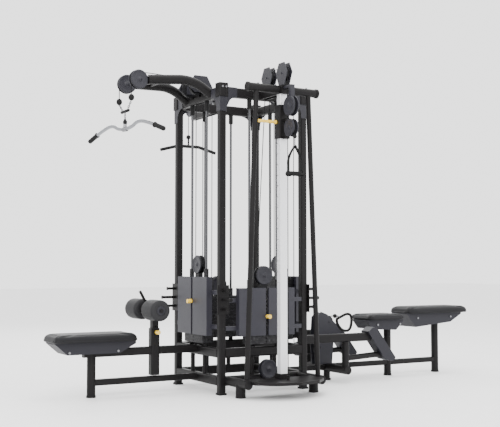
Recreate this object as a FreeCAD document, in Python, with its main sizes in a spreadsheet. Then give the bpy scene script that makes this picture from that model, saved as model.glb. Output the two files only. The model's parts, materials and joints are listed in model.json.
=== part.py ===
import FreeCAD, Part
import math
import os
import Sketcher
from FreeCAD import Rotation, Vector

# A four station gym: a square tower with a weight stack on each side, a pulldown seat
# to the left (-X), an adjustable pulley on a column in front (-Y), a high pulley behind (+Y)
# and a low rowing bench to the right (+X). Millimetres, +Z up, floor at Z = 0.
# Every piece is drawn from the middle of the tower and its Placement moves it, so that the
# origin ends up in the middle of the floor area that the machine covers.

SIZES = {
    # how far each station reaches from the middle of the tower
    "lat_reach": 1480, "row_reach": 2190, "front_reach": 850, "back_reach": 886,
    # tower
    "tower_half": 342, "column_side": 50, "column_round": 9, "foot_tall": 14, "column_top": 2100,
    "top_ring_tall": 70, "ring_round": 12, "base_ring_low": 62, "base_ring_tall": 66,
    "middle_ring_low": 256, "middle_ring_tall": 66, "ring_wide": 50, "gusset_out": 74,
    "gusset_tall": 96,
    # weight stacks
    "rod_spread": 115, "rod_radius": 9, "rod_play": 1, "plate_wide": 290, "plate_deep": 92,
    "plate_tall": 25, "plate_gap": 1, "head_tall": 30, "stack_low": 345, "stem_radius": 13,
    "stem_hole": 15, "pin_radius": 4.5, "pin_hole": 5.5, "bumper_radius": 17, "bumper_tall": 62,
    "top_bumper_tall": 70, "strand_spread": 55,
    # stack guards
    "guard_stand": 60, "guard_half": 232, "guard_thick": 3, "guard_low": 405, "guard_slot": 24,
    "guard_return": 46, "bracket_tall": 30,
    # cables and pulleys
    "cable_radius": 3, "groove_play": 0.3, "wheel_wide": 20, "wheel_lip": 7, "axle_radius": 6,
    "axle_play": 0.05, "cheek_thick": 5, "cheek_edge": 13, "cheek_gap": 2, "float_rise": 92,
    "top_wheel_up": 110, "small_wheel": 45, "front_wheel_z": 2250, "front_strand_y": 385,
    "anchor_thick": 6, "low_run_z": 215,
    # pulldown booms, bar and seat
    "boom_radius": 34, "boom_root_y": 190, "boom_tip_y": 110, "boom_tip_x": 880, "boom_tip_z": 2210,
    "bar_radius": 13, "bar_turn": 12, "bar_low": 1865, "seat_wide": 300, "seat_long": 610, "seat_top": 435,
    "pad_thick": 52, "lat_foot_x": 1170, "leg_radius": 30, "roller_x": 700, "roller_out": 58,
    "roller_z": 590,
    "roller_radius": 74, "roller_long": 200, "roller_gap": 92, "pad_play": 0.4,
    # front column station
    "frame_y": 610, "crossbar_half": 284, "crossbar_z": 2135, "crossbar_radius": 29,
    "leg_top_x": 215, "leg_foot_x": 292, "slant_radius": 18, "base_tube_x": 300,
    "base_tube_z": 98, "base_tube_radius": 32, "column_wide": 58, "column_deep": 50,
    "tie_gap": 36, "tie_tall": 60, "column_y": 600, "column_foot": 126, "carriage_low": 1790,
    "carriage_tall": 236, "carriage_wall": 12, "slide_play": 0.3, "guide_drop": 128, "swivel_y": 675,
    "swivel_z": 1855, "hole_pitch": 75,
    # back station
    "back_bar_half": 255, "back_bar_z": 1900, "stop_radius": 19,
    # rowing bench
    "row_foot_a": 1406, "row_foot_b": 1918, "row_front_start": 1120, "row_front_long": 370,
    "row_rear_start": 1530, "row_pad_wide": 290, "row_front_top": 505, "row_rear_top": 556,
    "side_frame_y": 250, "side_post_x": 796, "row_beam_z": 348, "row_beam_tall": 64,
    "row_wheel_x": 800, "row_stop_out": 60, "row_wheel_z": 455, "cross_tube_z": 100,
    # accessory pegs
    "peg_plate_low": 560, "peg_plate_tall": 205, "peg_plate_wide": 92, "peg_radius": 10,
}

PLATES = {"front": (14, 7), "right": (17, 9), "back": (11, 6), "left": (17, 11)}
TURNS = {"front": 0, "right": 90, "back": 180, "left": 270}

doc = FreeCAD.newDocument("HomeGym")
sheet = doc.addObject("Spreadsheet::Sheet", "Sizes")
for row, (word, number) in enumerate(SIZES.items(), start=1):
    sheet.set(f"A{row}", word)
    sheet.set(f"B{row}", str(number))
    sheet.setAlias(f"B{row}", word)
doc.recompute()


class Size:
    """A length that knows both its number and the formula that makes it from the sheet."""

    def __init__(self, number, text):
        self.number = number
        self.text = text

    def _join(self, other, sign, swap=False):
        other = size(other)
        left, right = (other, self) if swap else (self, other)
        sums = {"+": lambda a, b: a + b, "-": lambda a, b: a - b,
                "*": lambda a, b: a * b, "/": lambda a, b: a / b}
        return Size(sums[sign](left.number, right.number), f"({left.text} {sign} {right.text})")

    def __add__(self, other):
        return self._join(other, "+")

    def __radd__(self, other):
        return self._join(other, "+", True)

    def __sub__(self, other):
        return self._join(other, "-")

    def __rsub__(self, other):
        return self._join(other, "-", True)

    def __mul__(self, other):
        return self._join(other, "*")

    def __rmul__(self, other):
        return self._join(other, "*", True)

    def __truediv__(self, other):
        return self._join(other, "/")

    def __neg__(self):
        return self._join(-1, "*")


def size(value):
    return value if isinstance(value, Size) else Size(float(value), f"({value})")


class Names:
    """The cells of the sheet as Size values: S.column_side and so on."""

    def __getattr__(self, word):
        return Size(float(sheet.get(word)), f"Sizes.{word}")


S = Names()
AXES = {"x": Vector(1, 0, 0), "y": Vector(0, 1, 0), "z": Vector(0, 0, 1)}
LAY = {"x": Rotation(AXES["y"], 90), "y": Rotation(AXES["x"], -90), "z": Rotation()}
tower_x = (S.lat_reach - S.row_reach) / 2
tower_y = (S.front_reach - S.back_reach) / 2
nodes = []
still_wheels = []


def bind(item, prop, value):
    item.setExpression(prop, size(value).text)


def put(item, low, turn=None):
    """Set the turn, and bind the three coordinates of the base point."""
    if turn is not None:
        item.Placement = FreeCAD.Placement(Vector(0, 0, 0), turn)
    for letter, value in zip("xyz", low):
        bind(item, f"Placement.Base.{letter}", value)
    return item


def box(low, sides):
    item = doc.addObject("Part::Box", "Block")
    for prop, value in zip(("Length", "Width", "Height"), sides):
        bind(item, prop, value)
    return put(item, low)


def mid_box(middle, sides):
    return box([m - s / 2 for m, s in zip(map(size, middle), map(size, sides))], sides)


def rod(foot, radius, length, along="z"):
    item = doc.addObject("Part::Cylinder", "Rod")
    bind(item, "Radius", radius)
    bind(item, "Height", length)
    return put(item, foot, LAY[along])


def mid_rod(middle, radius, length, along):
    foot = [m - size(length) / 2 if letter == along else m for m, letter in zip(map(size, middle), "xyz")]
    return rod(foot, radius, length, along)


def ball(middle, radius):
    item = doc.addObject("Part::Sphere", "Ball")
    bind(item, "Radius", radius)
    return put(item, middle)


def rounded(item, radius, along):
    """Round the edges of a block that run along one axis."""
    item.recompute()
    axis = AXES[along]
    picked = [number for number, edge in enumerate(item.Shape.Edges, start=1)
              if abs(edge.tangentAt(edge.FirstParameter).dot(axis)) > 0.99]
    soft = doc.addObject("Part::Fillet", "Rounded")
    soft.Base = item
    soft.Edges = [(number, size(radius).number, size(radius).number) for number in picked]
    return soft


def bar(low, sides, along, radius=None):
    return rounded(box(low, sides), radius or S.ring_round, along)


def slanted_rod(foot, top_shift, rise, radius):
    """A round bar that leans sideways in the XZ plane by top_shift over its rise."""
    item = doc.addObject("Part::Cylinder", "Slanted")
    bind(item, "Radius", radius)
    lean, rise = size(top_shift), size(rise)
    item.setExpression("Height", f"sqrt({lean.text}^2 + {rise.text}^2)")
    item.Placement = FreeCAD.Placement(Vector(0, 0, 0), Rotation(AXES["y"], 1))
    item.setExpression("Placement.Rotation.Angle", f"atan2({lean.text}; {rise.text})")
    for letter, value in zip("xyz", foot):
        bind(item, f"Placement.Base.{letter}", value)
    return item


def fuse(*pieces):
    item = doc.addObject("Part::MultiFuse", "Welded")
    item.Shapes = list(pieces)
    item.Refine = True
    return item


def cut(base, *tools):
    tool = tools[0] if len(tools) == 1 else fuse(*tools)
    item = doc.addObject("Part::Cut", "Cut")
    item.Base = base
    item.Tool = tool
    return item


def group(*pieces):
    item = doc.addObject("Part::Compound", "Group")
    item.Links = list(pieces)
    return item


def node(label, item, turn=0, low=(0, 0, 0)):
    """Name a finished piece and stand it in the machine's own frame."""
    item.Label = label
    if item.TypeId == "Part::Compound" or item.TypeId.startswith("Part::") and turn == 0:
        holder = item
    else:
        holder = group(item)
        item.Label = label + "_solid"
        holder.Label = label
    holder.Placement = FreeCAD.Placement(Vector(0, 0, 0), Rotation(AXES["z"], turn))
    bind(holder, "Placement.Base.x", tower_x + low[0])
    bind(holder, "Placement.Base.y", tower_y + low[1])
    bind(holder, "Placement.Base.z", low[2])
    nodes.append(holder)
    return holder


def plate_body(label, plane, outline, thick, offset=0, holes=(), blend=0):
    """A flat plate: a closed outline of points on an origin plane, padded both ways.

    Each point is a pair of Sizes; holes are (across, up, radius).
    """
    body = doc.addObject("PartDesign::Body", label + "_body")
    sketch = body.newObject("Sketcher::SketchObject", label + "_outline")
    face = [f for f in body.Origin.OriginFeatures if f.Role == plane][0]
    sketch.AttachmentSupport = [(face, "")]
    sketch.MapMode = "FlatFace"
    corners = [(size(a), size(b)) for a, b in outline]
    for index, (a, b) in enumerate(corners):
        c, d = corners[(index + 1) % len(corners)]
        start, end = Vector(a.number, b.number, 0), Vector(c.number, d.number, 0)
        sketch.addGeometry(Part.LineSegment(start, end), False)
    for index, (a, b) in enumerate(corners):
        before = index - 1 if index else len(corners) - 1
        sketch.addConstraint(Sketcher.Constraint("Coincident", before, 2, index, 1))
        for kind, value in (("DistanceX", a), ("DistanceY", b)):
            number = sketch.addConstraint(Sketcher.Constraint(kind, -1, 1, index, 1, value.number))
            sketch.setExpression(f"Constraints[{number}]", value.text)
    for across, up, radius in holes:
        across, up, radius = size(across), size(up), size(radius)
        middle = Vector(across.number, up.number, 0)
        circle = sketch.addGeometry(Part.Circle(middle, AXES["z"], radius.number), False)
        for kind, value in (("DistanceX", across), ("DistanceY", up)):
            number = sketch.addConstraint(Sketcher.Constraint(kind, -1, 1, circle, 3, value.number))
            sketch.setExpression(f"Constraints[{number}]", value.text)
        number = sketch.addConstraint(Sketcher.Constraint("Radius", circle, radius.number))
        sketch.setExpression(f"Constraints[{number}]", radius.text)
    pad = body.newObject("PartDesign::Pad", label + "_pad")
    pad.Profile = sketch
    pad.Midplane = True
    bind(pad, "Length", thick)
    body.Tip = pad
    along = {"XY_Plane": "z", "XZ_Plane": "y", "YZ_Plane": "x"}[plane]
    for letter in "xyz":
        bind(body, f"Placement.Base.{letter}", offset if letter == along else 0)
    if blend:
        body.recompute()
        doc.recompute()
        axis = AXES[along]
        picked = [f"Edge{n}" for n, e in enumerate(pad.Shape.Edges, start=1)
                  if e.Curve.TypeId == "Part::GeomLine"
                  and abs(e.tangentAt(e.FirstParameter).dot(axis)) > 0.99]
        soft = body.newObject("PartDesign::Fillet", label + "_round")
        soft.Base = (pad, picked)
        bind(soft, "Radius", blend)
        body.Tip = soft
    return body


def run(points, radii):
    """A wire of straight runs through the points, with a tangent arc at each inner point."""
    corners = [Vector(*[size(v).number for v in p]) for p in points]
    edges = []
    start = corners[0]
    for before, corner, after, radius in zip(corners, corners[1:], corners[2:], radii):
        back = (before - corner).normalize()
        ahead = (after - corner).normalize()
        half = back.getAngle(ahead) / 2
        reach = size(radius).number / math.tan(half)
        first, last = corner + back * reach, corner + ahead * reach
        middle_way = (back + ahead).normalize()
        centre = corner + middle_way * (size(radius).number / math.sin(half))
        if (first - start).Length > 1e-6:
            edges.append(Part.LineSegment(start, first).toShape())
        edges.append(Part.Arc(first, centre - middle_way * size(radius).number, last).toShape())
        start = last
    if (corners[-1] - start).Length > 1e-6:
        edges.append(Part.LineSegment(start, corners[-1]).toShape())
    return Part.Wire(edges)


def tube_shape(points, radii, radius):
    """Sweep a round section along a run, and check its volume against section times length."""
    path = run(points, radii)
    first = path.Edges[0]
    begin = first.valueAt(first.FirstParameter)
    ahead = first.tangentAt(first.FirstParameter)
    section = Part.Wire([Part.Circle(begin, ahead, size(radius).number).toShape()])
    shape = path.makePipeShell([section], True, True)
    wanted = math.pi * size(radius).number ** 2 * path.Length
    if abs(shape.Volume - wanted) > wanted / 100:
        raise ValueError(f"swept tube is {shape.Volume:.0f}, not {wanted:.0f}")
    return shape


def feature(shape):
    item = doc.addObject("Part::Feature", "Swept")
    item.Shape = shape
    return item


def tube(points, radii, radius):
    return feature(tube_shape(points, radii, radius))


def swung(pieces, middle, angle):
    """Pieces drawn round the origin, turned about the vertical and moved to their middle."""
    item = group(*pieces)
    return put(item, middle, Rotation(AXES["z"], angle))


def wheel(middle, radius, along):
    """A grooved pulley wheel: radius is where the middle of the cable runs."""
    disc = mid_rod(middle, radius + S.wheel_lip, S.wheel_wide, along)
    room = S.cable_radius + S.groove_play
    groove = cut(mid_rod(middle, radius + S.wheel_lip * 2, room * 2, along),
                 mid_rod(middle, radius - room, S.wheel_wide, along))
    bore = mid_rod(middle, S.axle_radius + S.axle_play, S.wheel_wide * 2, along)
    return cut(disc, groove, bore)


def cheeks(middle, radius, along, spread=None):
    """Two round cheek plates on the axle of a pulley."""
    apart = (spread or S.wheel_wide) + S.cheek_gap * 2
    outer = radius + S.cheek_edge
    drum = mid_rod(middle, outer, apart + S.cheek_thick * 2, along)
    shell = cut(drum, mid_rod(middle, outer * 2, apart, along))
    return fuse(shell, mid_rod(middle, S.axle_radius, apart + S.cheek_thick * 4, along))


# ---------------------------------------------------------------- tower
ring_span = S.tower_half * 2 + S.ring_wide
top_ring_top = S.column_top + S.top_ring_tall
guard_face = S.tower_half + S.guard_stand
middle_ring_top = S.middle_ring_low + S.middle_ring_tall
wheel_z = S.column_top + S.top_wheel_up


def ring_frame(low, tall, gap=0):
    """Four bars round the tower; they stop short of the columns where gap is given."""
    bars = []
    for side in (-1, 1):
        centre = side * S.tower_half
        bars.append(bar((-ring_span / 2 + gap, centre - S.ring_wide / 2, low),
                        (ring_span - gap * 2, S.ring_wide, tall), "x"))
        bars.append(bar((centre - S.ring_wide / 2, -ring_span / 2 + gap, low),
                        (S.ring_wide, ring_span - gap * 2, tall), "y"))
    return bars


def tower_columns():
    posts = []
    for side in (-1, 1):
        for depth in (-1, 1):
            posts.append(bar((side * S.tower_half - S.column_side / 2, depth * S.tower_half - S.column_side / 2,
                              S.foot_tall),
                             (S.column_side, S.column_side, S.column_top - S.foot_tall), "z", S.column_round))
    node("tower_columns", group(*posts))


def top_ring():
    """The upper ring, with a long slot over each stack for its cables, and corner castings."""
    slots = []
    corners = []
    for side in (-1, 1):
        slots.append(mid_box((0, side * S.tower_half, S.column_top + S.top_ring_tall / 2),
                             (S.strand_spread * 2 + 30, 24, S.top_ring_tall * 2)))
        slots.append(mid_box((side * S.tower_half, 0, S.column_top + S.top_ring_tall / 2),
                             (24, S.strand_spread * 2 + 30, S.top_ring_tall * 2)))
        notch = S.wheel_wide + 8
        for place in (-1, 1):
            near = (side * S.tower_half - 14, place * S.strand_spread - notch / 2, top_ring_top - 30)
            slots.append(box(near, (28, notch, 40)))
            slots.append(box((side * (S.tower_half + 19) - 10, place * (S.strand_spread + 1) - notch / 2,
                              top_ring_top - 30), (20, notch, 40)))
        for depth in (-1, 1):
            foot = (side * S.tower_half - S.gusset_out / 2, depth * S.tower_half - S.gusset_out / 2, S.column_top)
            corners.append(bar(foot, (S.gusset_out, S.gusset_out, S.gusset_tall), "z", S.ring_round))
    slots.append(box((-notch / 2, S.tower_half - 14, top_ring_top - 30), (notch, 60, 40)))
    node("top_ring", cut(fuse(*ring_frame(S.column_top, S.top_ring_tall), *corners), *slots))


def lower_rings():
    """Two rings of bars between the columns, with short posts under the stacks."""
    gap = S.column_side / 2 + S.ring_wide / 2
    pieces = ring_frame(S.middle_ring_low, S.middle_ring_tall, gap)
    pieces += ring_frame(S.base_ring_low, S.base_ring_tall, gap)
    base_top = S.base_ring_low + S.base_ring_tall
    for side in (-1, 1):
        for place in (-1, 1):
            along = place * (S.rod_spread - 20)
            for x, y in ((along, side * S.tower_half), (side * S.tower_half, along)):
                pieces.append(rod((x, y, base_top), 16, S.middle_ring_low - base_top))
    node("lower_rings", group(*pieces))


def stack_sides(make):
    """Run a maker once for each side of the tower and collect what it returns."""
    pieces = []
    for side in ("front", "right", "back", "left"):
        turned = group(*make(side))
        turned.Placement = FreeCAD.Placement(Vector(0, 0, 0), Rotation(AXES["z"], TURNS[side]))
        pieces.append(turned)
    return pieces


def guide_rods():
    def rods(side):
        return [rod((place * S.rod_spread, -S.tower_half, middle_ring_top), S.rod_radius,
                    S.column_top - middle_ring_top) for place in (-1, 1)]
    node("guide_rods", group(*stack_sides(rods)))


def rod_bumpers():
    def bumpers(side):
        made = []
        for place in (-1, 1):
            for low, tall in ((S.column_top - S.top_bumper_tall, S.top_bumper_tall),
                              (middle_ring_top, S.stack_low - middle_ring_top)):
                x = place * S.rod_spread
                made.append(cut(rod((x, -S.tower_half, low), S.bumper_radius, tall),
                                rod((x, -S.tower_half, low - 1), S.rod_radius + S.axle_play, tall + 2)))
        return made
    return stack_sides(bumpers)


def plate(number):
    """One weight plate with two rod holes, the selector hole and the pin hole."""
    low = S.stack_low + number * (S.plate_tall + S.plate_gap)
    slab = bar((-S.plate_wide / 2, -S.tower_half - S.plate_deep / 2, low),
               (S.plate_wide, S.plate_deep, S.plate_tall), "z", 6)
    holes = [rod((place * S.rod_spread, -S.tower_half, low - 1), S.rod_radius + S.rod_play, S.plate_tall + 2)
             for place in (-1, 1)]
    holes.append(rod((0, -S.tower_half, low - 1), S.stem_hole, S.plate_tall + 2))
    mouth = (0, -S.tower_half - S.plate_deep, low + S.plate_tall / 2)
    holes.append(rod(mouth, S.pin_hole, S.plate_deep, "y"))
    return cut(slab, *holes)


def pin_height(number):
    return S.stack_low + number * (S.plate_tall + S.plate_gap) + S.plate_tall / 2


def head_top(side):
    return S.stack_low + PLATES[side][0] * (S.plate_tall + S.plate_gap) + S.head_tall


def resting_plates():
    def plates(side):
        return [plate(number) for number in range(PLATES[side][1])]
    node("resting_plates", group(*stack_sides(plates)))


def lifted_plates(side):
    """The plates above the pin, the head plate and the drilled selector stem."""
    total, first = PLATES[side]
    top = head_top(side)
    head = bar((-S.plate_wide / 2, -S.tower_half - S.plate_deep / 2, top - S.head_tall),
               (S.plate_wide, S.plate_deep, S.head_tall), "z", 6)
    stem = rod((0, -S.tower_half, S.stack_low + 2), S.stem_radius, top - S.stack_low - 4)
    drills = [rod((0, -S.tower_half - S.plate_deep, pin_height(n)), S.pin_hole, S.plate_deep * 2, "y")
              for n in range(total)]
    for place in (-1, 1):
        drills.append(rod((place * S.rod_spread, -S.tower_half, top - S.head_tall - 1),
                          S.rod_radius + S.rod_play, S.head_tall + S.bumper_tall + 2))
    sleeves = [rod((place * S.rod_spread, -S.tower_half, top), S.bumper_radius, S.bumper_tall)
               for place in (-1, 1)]
    pieces = [cut(fuse(head, stem, *sleeves), *drills)]
    pieces += [plate(number) for number in range(first, total)]
    node(f"lifted_plates_{side}", group(*pieces), TURNS[side])


def lift_pulley(side):
    """The wheel and cheeks on the head plate that the cable lifts."""
    middle = (0, -S.tower_half, head_top(side) + S.float_rise)
    sides = cheeks(middle, S.strand_spread, "y")
    ear = mid_box((0, -S.tower_half, head_top(side) + 20),
                  (56, S.wheel_wide + S.cheek_gap * 2 + S.cheek_thick * 2, 40))
    hollow = mid_rod(middle, S.strand_spread + S.wheel_lip + S.cheek_gap * 2,
                     S.wheel_wide + S.cheek_gap * 2, "y")
    frame = fuse(cut(ear, hollow), sides)
    node(f"lift_pulley_{side}", group(frame, wheel(middle, S.strand_spread, "y")), TURNS[side])


def selector_pin(side):
    """A pin through the plate and the stem, with a round yellow knob."""
    z = pin_height(PLATES[side][1])
    start = -guard_face - 36
    shank = rod((0, start + 10, z), S.pin_radius, guard_face - S.tower_half + S.stem_radius + 26, "y")
    knob = rod((0, start, z), 15, 34, "y")
    node(f"selector_pin_{side}", fuse(shank, knob), TURNS[side])


def stack_guards():
    """Two bent sheets in front of each stack, with a slot between them for the pin."""
    def panels(side):
        made = []
        tall = head_top(side) - S.guard_low + 4
        for place in (-1, 1):
            inner, outer = S.guard_slot / 2, S.guard_half
            low_x = inner if place > 0 else -outer
            face = box((low_x, -guard_face, S.guard_low), (outer - inner, S.guard_thick, tall))
            edge_x = outer - S.guard_thick if place > 0 else -outer
            back = box((edge_x, -guard_face, S.guard_low), (S.guard_thick, S.guard_return, tall))
            lip_x = inner if place > 0 else -inner - S.guard_thick
            lip = box((lip_x, -guard_face, S.guard_low), (S.guard_thick, 10, tall))
            arms = []
            column_face = S.tower_half - S.column_side / 2
            arm_x = outer - S.guard_thick if place > 0 else -column_face
            for share in (0.12, 0.7):
                arms.append(box((arm_x, -S.tower_half - 22, S.guard_low + tall * share),
                                (column_face - outer + S.guard_thick, 12, S.bracket_tall)))
            made.append(fuse(face, back, lip, *arms))
        return made
    node("stack_guards", group(*stack_sides(panels)))


def peg_brackets():
    """A plate with three pegs on the outer face of each column, turned a quarter each time."""
    def pegs(side):
        middle = -S.tower_half
        low, tall = S.peg_plate_low, S.peg_plate_tall
        face = -S.tower_half - S.column_side / 2
        slab = bar((middle - S.peg_plate_wide / 2, face - 5, low), (S.peg_plate_wide, 5, tall), "y", 2)
        made = [slab]
        for share, long in ((0.18, 62), (0.5, 105), (0.82, 62)):
            made.append(rod((middle, face - 5 - long, low + tall * share), S.peg_radius, long + 3, "y"))
            made.append(rod((middle, face - 5 - long - 5, low + tall * share), S.peg_radius + 3, 5, "y"))
        return [fuse(*made)]
    node("peg_brackets", group(*stack_sides(pegs)))


# ---------------------------------------------------------------- cables
def stack_cable(side):
    """Up one strand, under the lifted wheel and up the other to the top wheel or its anchor."""
    z = head_top(side) + S.float_rise
    low = z - S.strand_spread
    live = (-S.strand_spread, -S.tower_half, wheel_z)
    right_top = wheel_z if side == "left" else top_ring_top + S.anchor_thick
    rest = [(-S.strand_spread, -S.tower_half, low), (S.strand_spread, -S.tower_half, low),
            (S.strand_spread, -S.tower_half, right_top)]
    radii = [S.strand_spread, S.strand_spread]
    if side in ("front", "back"):
        live = (0, -S.front_strand_y, S.front_wheel_z) if side == "front" else (0, -S.tower_half, wheel_z)
        rest = [(live[0], live[1], live[2] - 60), (-S.strand_spread, -S.tower_half, z + 60)] + rest
        radii = [S.strand_spread * 20, S.strand_spread * 20] + radii
    node(f"stack_cable_{side}", group(tube([live] + rest, radii, S.cable_radius)), TURNS[side])


def turned(points, side):
    """Points drawn for the front side, turned to another side."""
    spin = {"front": (1, 0), "right": (0, 1), "back": (-1, 0), "left": (0, -1)}[side]
    return [(size(x) * spin[0] - size(y) * spin[1], size(x) * spin[1] + size(y) * spin[0], z)
            for x, y, z in points]


top_run_z = wheel_z + S.strand_spread
small = S.small_wheel


def away(start, end):
    """The level direction from one point to another, and its angle from the -Y direction."""
    across = (size(end[0]) - start[0]).number
    out = (size(end[1]) - start[1]).number
    far = math.hypot(across, out)
    return across / far, out / far, math.degrees(math.atan2(across, -out))


def lat_line(hand):
    """Foot points of the two vertical strands of a pulldown cable, drawn for the front side."""
    return ((hand * S.strand_spread, -S.tower_half), (hand * S.boom_tip_y, -S.boom_tip_x - S.strand_spread))


def low_line():
    """Foot points of the strand down the right of the tower and of the one up the rowing post."""
    return ((-S.strand_spread, -S.tower_half - S.strand_spread * 2), (0, -S.row_wheel_x + small))


def cable_runs():
    """The stretches that stay still: over the top wheels and down to each station."""
    pieces = []
    for hand in (-1, 1):
        (x, y), (tip_x, tip_y) = lat_line(hand)
        path = [(x, y, wheel_z), (x, y, top_run_z), (tip_x, tip_y, top_run_z), (tip_x, tip_y, wheel_z)]
        pieces.append(tube(turned(path, "left"), [S.strand_spread, S.strand_spread], S.cable_radius))
    back_y = -tip_wheel_y - S.strand_spread
    path = [(0, -S.tower_half, wheel_z), (0, -S.tower_half, top_run_z), (0, back_y, top_run_z),
            (0, back_y, wheel_z)]
    pieces.append(tube(turned(path, "back"), [S.strand_spread, S.strand_spread], S.cable_radius))
    (x, y), (foot_x, foot_y) = low_line()
    path = [(x, -S.tower_half, wheel_z), (x, -S.tower_half, top_run_z), (x, y, top_run_z),
            (x, y, S.low_run_z),
            (foot_x, foot_y, S.low_run_z), (foot_x, foot_y, S.row_wheel_z + small),
            (0, -S.row_wheel_x - S.row_stop_out + 0.5, S.row_wheel_z + small)]
    radii = [S.strand_spread, S.strand_spread, small, small, small]
    pieces.append(tube(turned(path, "right"), radii, S.cable_radius))
    path = [(0, -S.front_strand_y, S.front_wheel_z), (0, -S.front_strand_y, S.front_wheel_z + small),
            (0, -S.swivel_y, S.front_wheel_z + small), (0, -S.swivel_y, S.column_foot + 24)]
    pieces.append(tube(path, [small, small], S.cable_radius))
    node("cable_runs", group(*pieces))


def cable_anchors():
    """A drilled plate and a clamp over each slot where a cable is tied off."""
    pieces = []
    for side in ("front", "right", "back"):
        (x, y, low), = turned([(S.strand_spread, -S.tower_half, top_ring_top)], side)
        slab = mid_box((x, y, low + S.anchor_thick / 2), (22, 22, S.anchor_thick))
        hole = rod((x, y, low - 1), S.cable_radius + 1, S.anchor_thick + 2)
        pieces.append(cut(slab, hole))
        pieces.append(rod((x, y, low + S.anchor_thick), S.cable_radius * 3, 18))
    return pieces


# ---------------------------------------------------------------- top pulleys and covers
def hexagon(middle_a, middle_b, half_a, half_b, nip):
    """Six points round a middle: a flat top and bottom with two cut corners on each side."""
    a, b = size(middle_a), size(middle_b)
    return [(a - half_a + nip, b - half_b), (a + half_a - nip, b - half_b), (a + half_a, b),
            (a + half_a - nip, b + half_b), (a - half_a + nip, b + half_b), (a - half_a, b)]


carriage_top = S.carriage_low + S.carriage_tall
front_wheel_y = S.swivel_y - small
rear_wheel_y = S.front_strand_y + small
top_wheel_out = S.tower_half + S.strand_spread
tip_wheel_y = S.back_reach - S.stop_radius - S.strand_spread


def lat_wheel_place(hand, far):
    """Middle of a pulldown wheel and how far its plane is swung; drawn for the front side."""
    near_end, far_end = lat_line(hand)
    across, out, angle = away(near_end, far_end)
    end, sign = (far_end, -1) if far else (near_end, 1)
    return (end[0] + S.strand_spread * (across * sign), end[1] + S.strand_spread * (out * sign), wheel_z), angle


def lat_swung(pieces, hand, far):
    """Pieces drawn round the origin for a wheel along X, stood at a pulldown wheel on the left."""
    middle, angle = lat_wheel_place(hand, far)
    return swung(pieces, turned([middle], "left")[0], angle + TURNS["left"])


def fork():
    """Two plates and an axle round a wheel at the origin, with feet that stand on the ring."""
    half = S.wheel_wide / 2 + S.cheek_gap
    low = top_ring_top - wheel_z
    sides = [box((hand * (half + S.cheek_thick / 2) - S.cheek_thick / 2, -26, low), (S.cheek_thick, 90, 62))
             for hand in (-1, 1)]
    return fuse(*sides, mid_rod((0, 0, 0), S.axle_radius, half * 2 + S.cheek_thick * 2 + 6, "x"))


def top_cheeks(side):
    """Two six-sided cheeks on the ring over a stack, with what carries the wheel between them."""
    wide = S.cheek_gap * (18 if side == "left" else 2)
    gap = S.strand_spread * 2 + S.wheel_wide + wide
    shape = hexagon(-(top_wheel_out - 20), wheel_z, size(98), size(82), size(46))
    shape[0] = (shape[0][0], top_ring_top)
    shape[1] = (shape[1][0], top_ring_top)
    both = [plate_body(f"top_cheek_{side}_{hand + 1}", "YZ_Plane", shape, S.cheek_thick,
                       hand * (gap / 2 + S.cheek_thick / 2)) for hand in (-1, 1)]
    if side != "left":
        x = size(0) if side == "back" else -S.strand_spread
        both.append(mid_rod((0, -top_wheel_out, wheel_z), S.axle_radius, gap + S.cheek_thick * 4, "x"))
        turned_wheel = group(wheel((x, -top_wheel_out, wheel_z), S.strand_spread, "x"))
        turned_wheel.Placement = FreeCAD.Placement(Vector(0, 0, 0), Rotation(AXES["z"], TURNS[side]))
        still_wheels.append(turned_wheel)
    turn = group(*both)
    turn.Placement = FreeCAD.Placement(Vector(0, 0, 0), Rotation(AXES["z"], TURNS[side]))
    return turn


def tie_cheeks(y, label):
    """Two six-sided cheeks on the tie plates in front, with their wheel."""
    shape = hexagon(-y, S.front_wheel_z + 4, size(74), size(70), size(38))
    shape[0] = (shape[0][0], S.crossbar_z + S.tie_tall / 2)
    shape[1] = (shape[1][0], S.crossbar_z + S.tie_tall / 2)
    both = [plate_body(f"tie_cheek_{label}_{hand + 1}", "YZ_Plane", shape, S.cheek_thick,
                       hand * (S.tie_gap / 2 + S.cheek_thick / 2)) for hand in (-1, 1)]
    both.append(mid_rod((0, -y, S.front_wheel_z), S.axle_radius, S.tie_gap + S.cheek_thick * 4, "x"))
    still_wheels.append(wheel((0, -y, S.front_wheel_z), small, "x"))
    return both


def low_wheels():
    """The wheel at the tower that turns the rowing cable along the floor, in the plane of that run."""
    near_end, far_end = low_line()
    across, out, angle = away(near_end, far_end)
    half = S.wheel_wide / 2 + S.cheek_gap
    z = S.low_run_z + small
    middle = (near_end[0] + small * across, near_end[1] + small * out, z)
    arms = [box((hand * (half + S.cheek_thick / 2) - S.cheek_thick / 2, 0, 0), (S.cheek_thick, 60, 30))
            for hand in (-1, 1)]
    place = turned([middle], "right")[0]
    still_wheels.append(swung([wheel((0, 0, 0), small, "x")], place, angle + TURNS["right"]))
    made = [swung([fuse(cheeks((0, 0, 0), small - 4, "x"), *arms)], place, angle + TURNS["right"])]
    arm_y = S.tower_half + S.ring_wide / 2
    stub = mid_box((-S.strand_spread - 3, -arm_y - 41, z + 15), (36, 82, 24))
    room = mid_rod((-S.strand_spread, -arm_y - 130, z), small + S.wheel_lip + 9, 60, "x")
    way = mid_box((-S.strand_spread, -S.tower_half - S.strand_spread * 2, z), (16, 24, 80))
    turn = group(cut(stub, room, way))
    turn.Placement = FreeCAD.Placement(Vector(0, 0, 0), Rotation(AXES["z"], TURNS["right"]))
    return made + [turn]


def top_pulley_housings():
    pieces = [top_cheeks(side) for side in ("left", "right", "back")]
    pieces += [lat_swung([fork()], hand, False) for hand in (-1, 1)]
    return pieces + tie_cheeks(rear_wheel_y, "rear") + tie_cheeks(front_wheel_y, "fore") + low_wheels()


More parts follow.
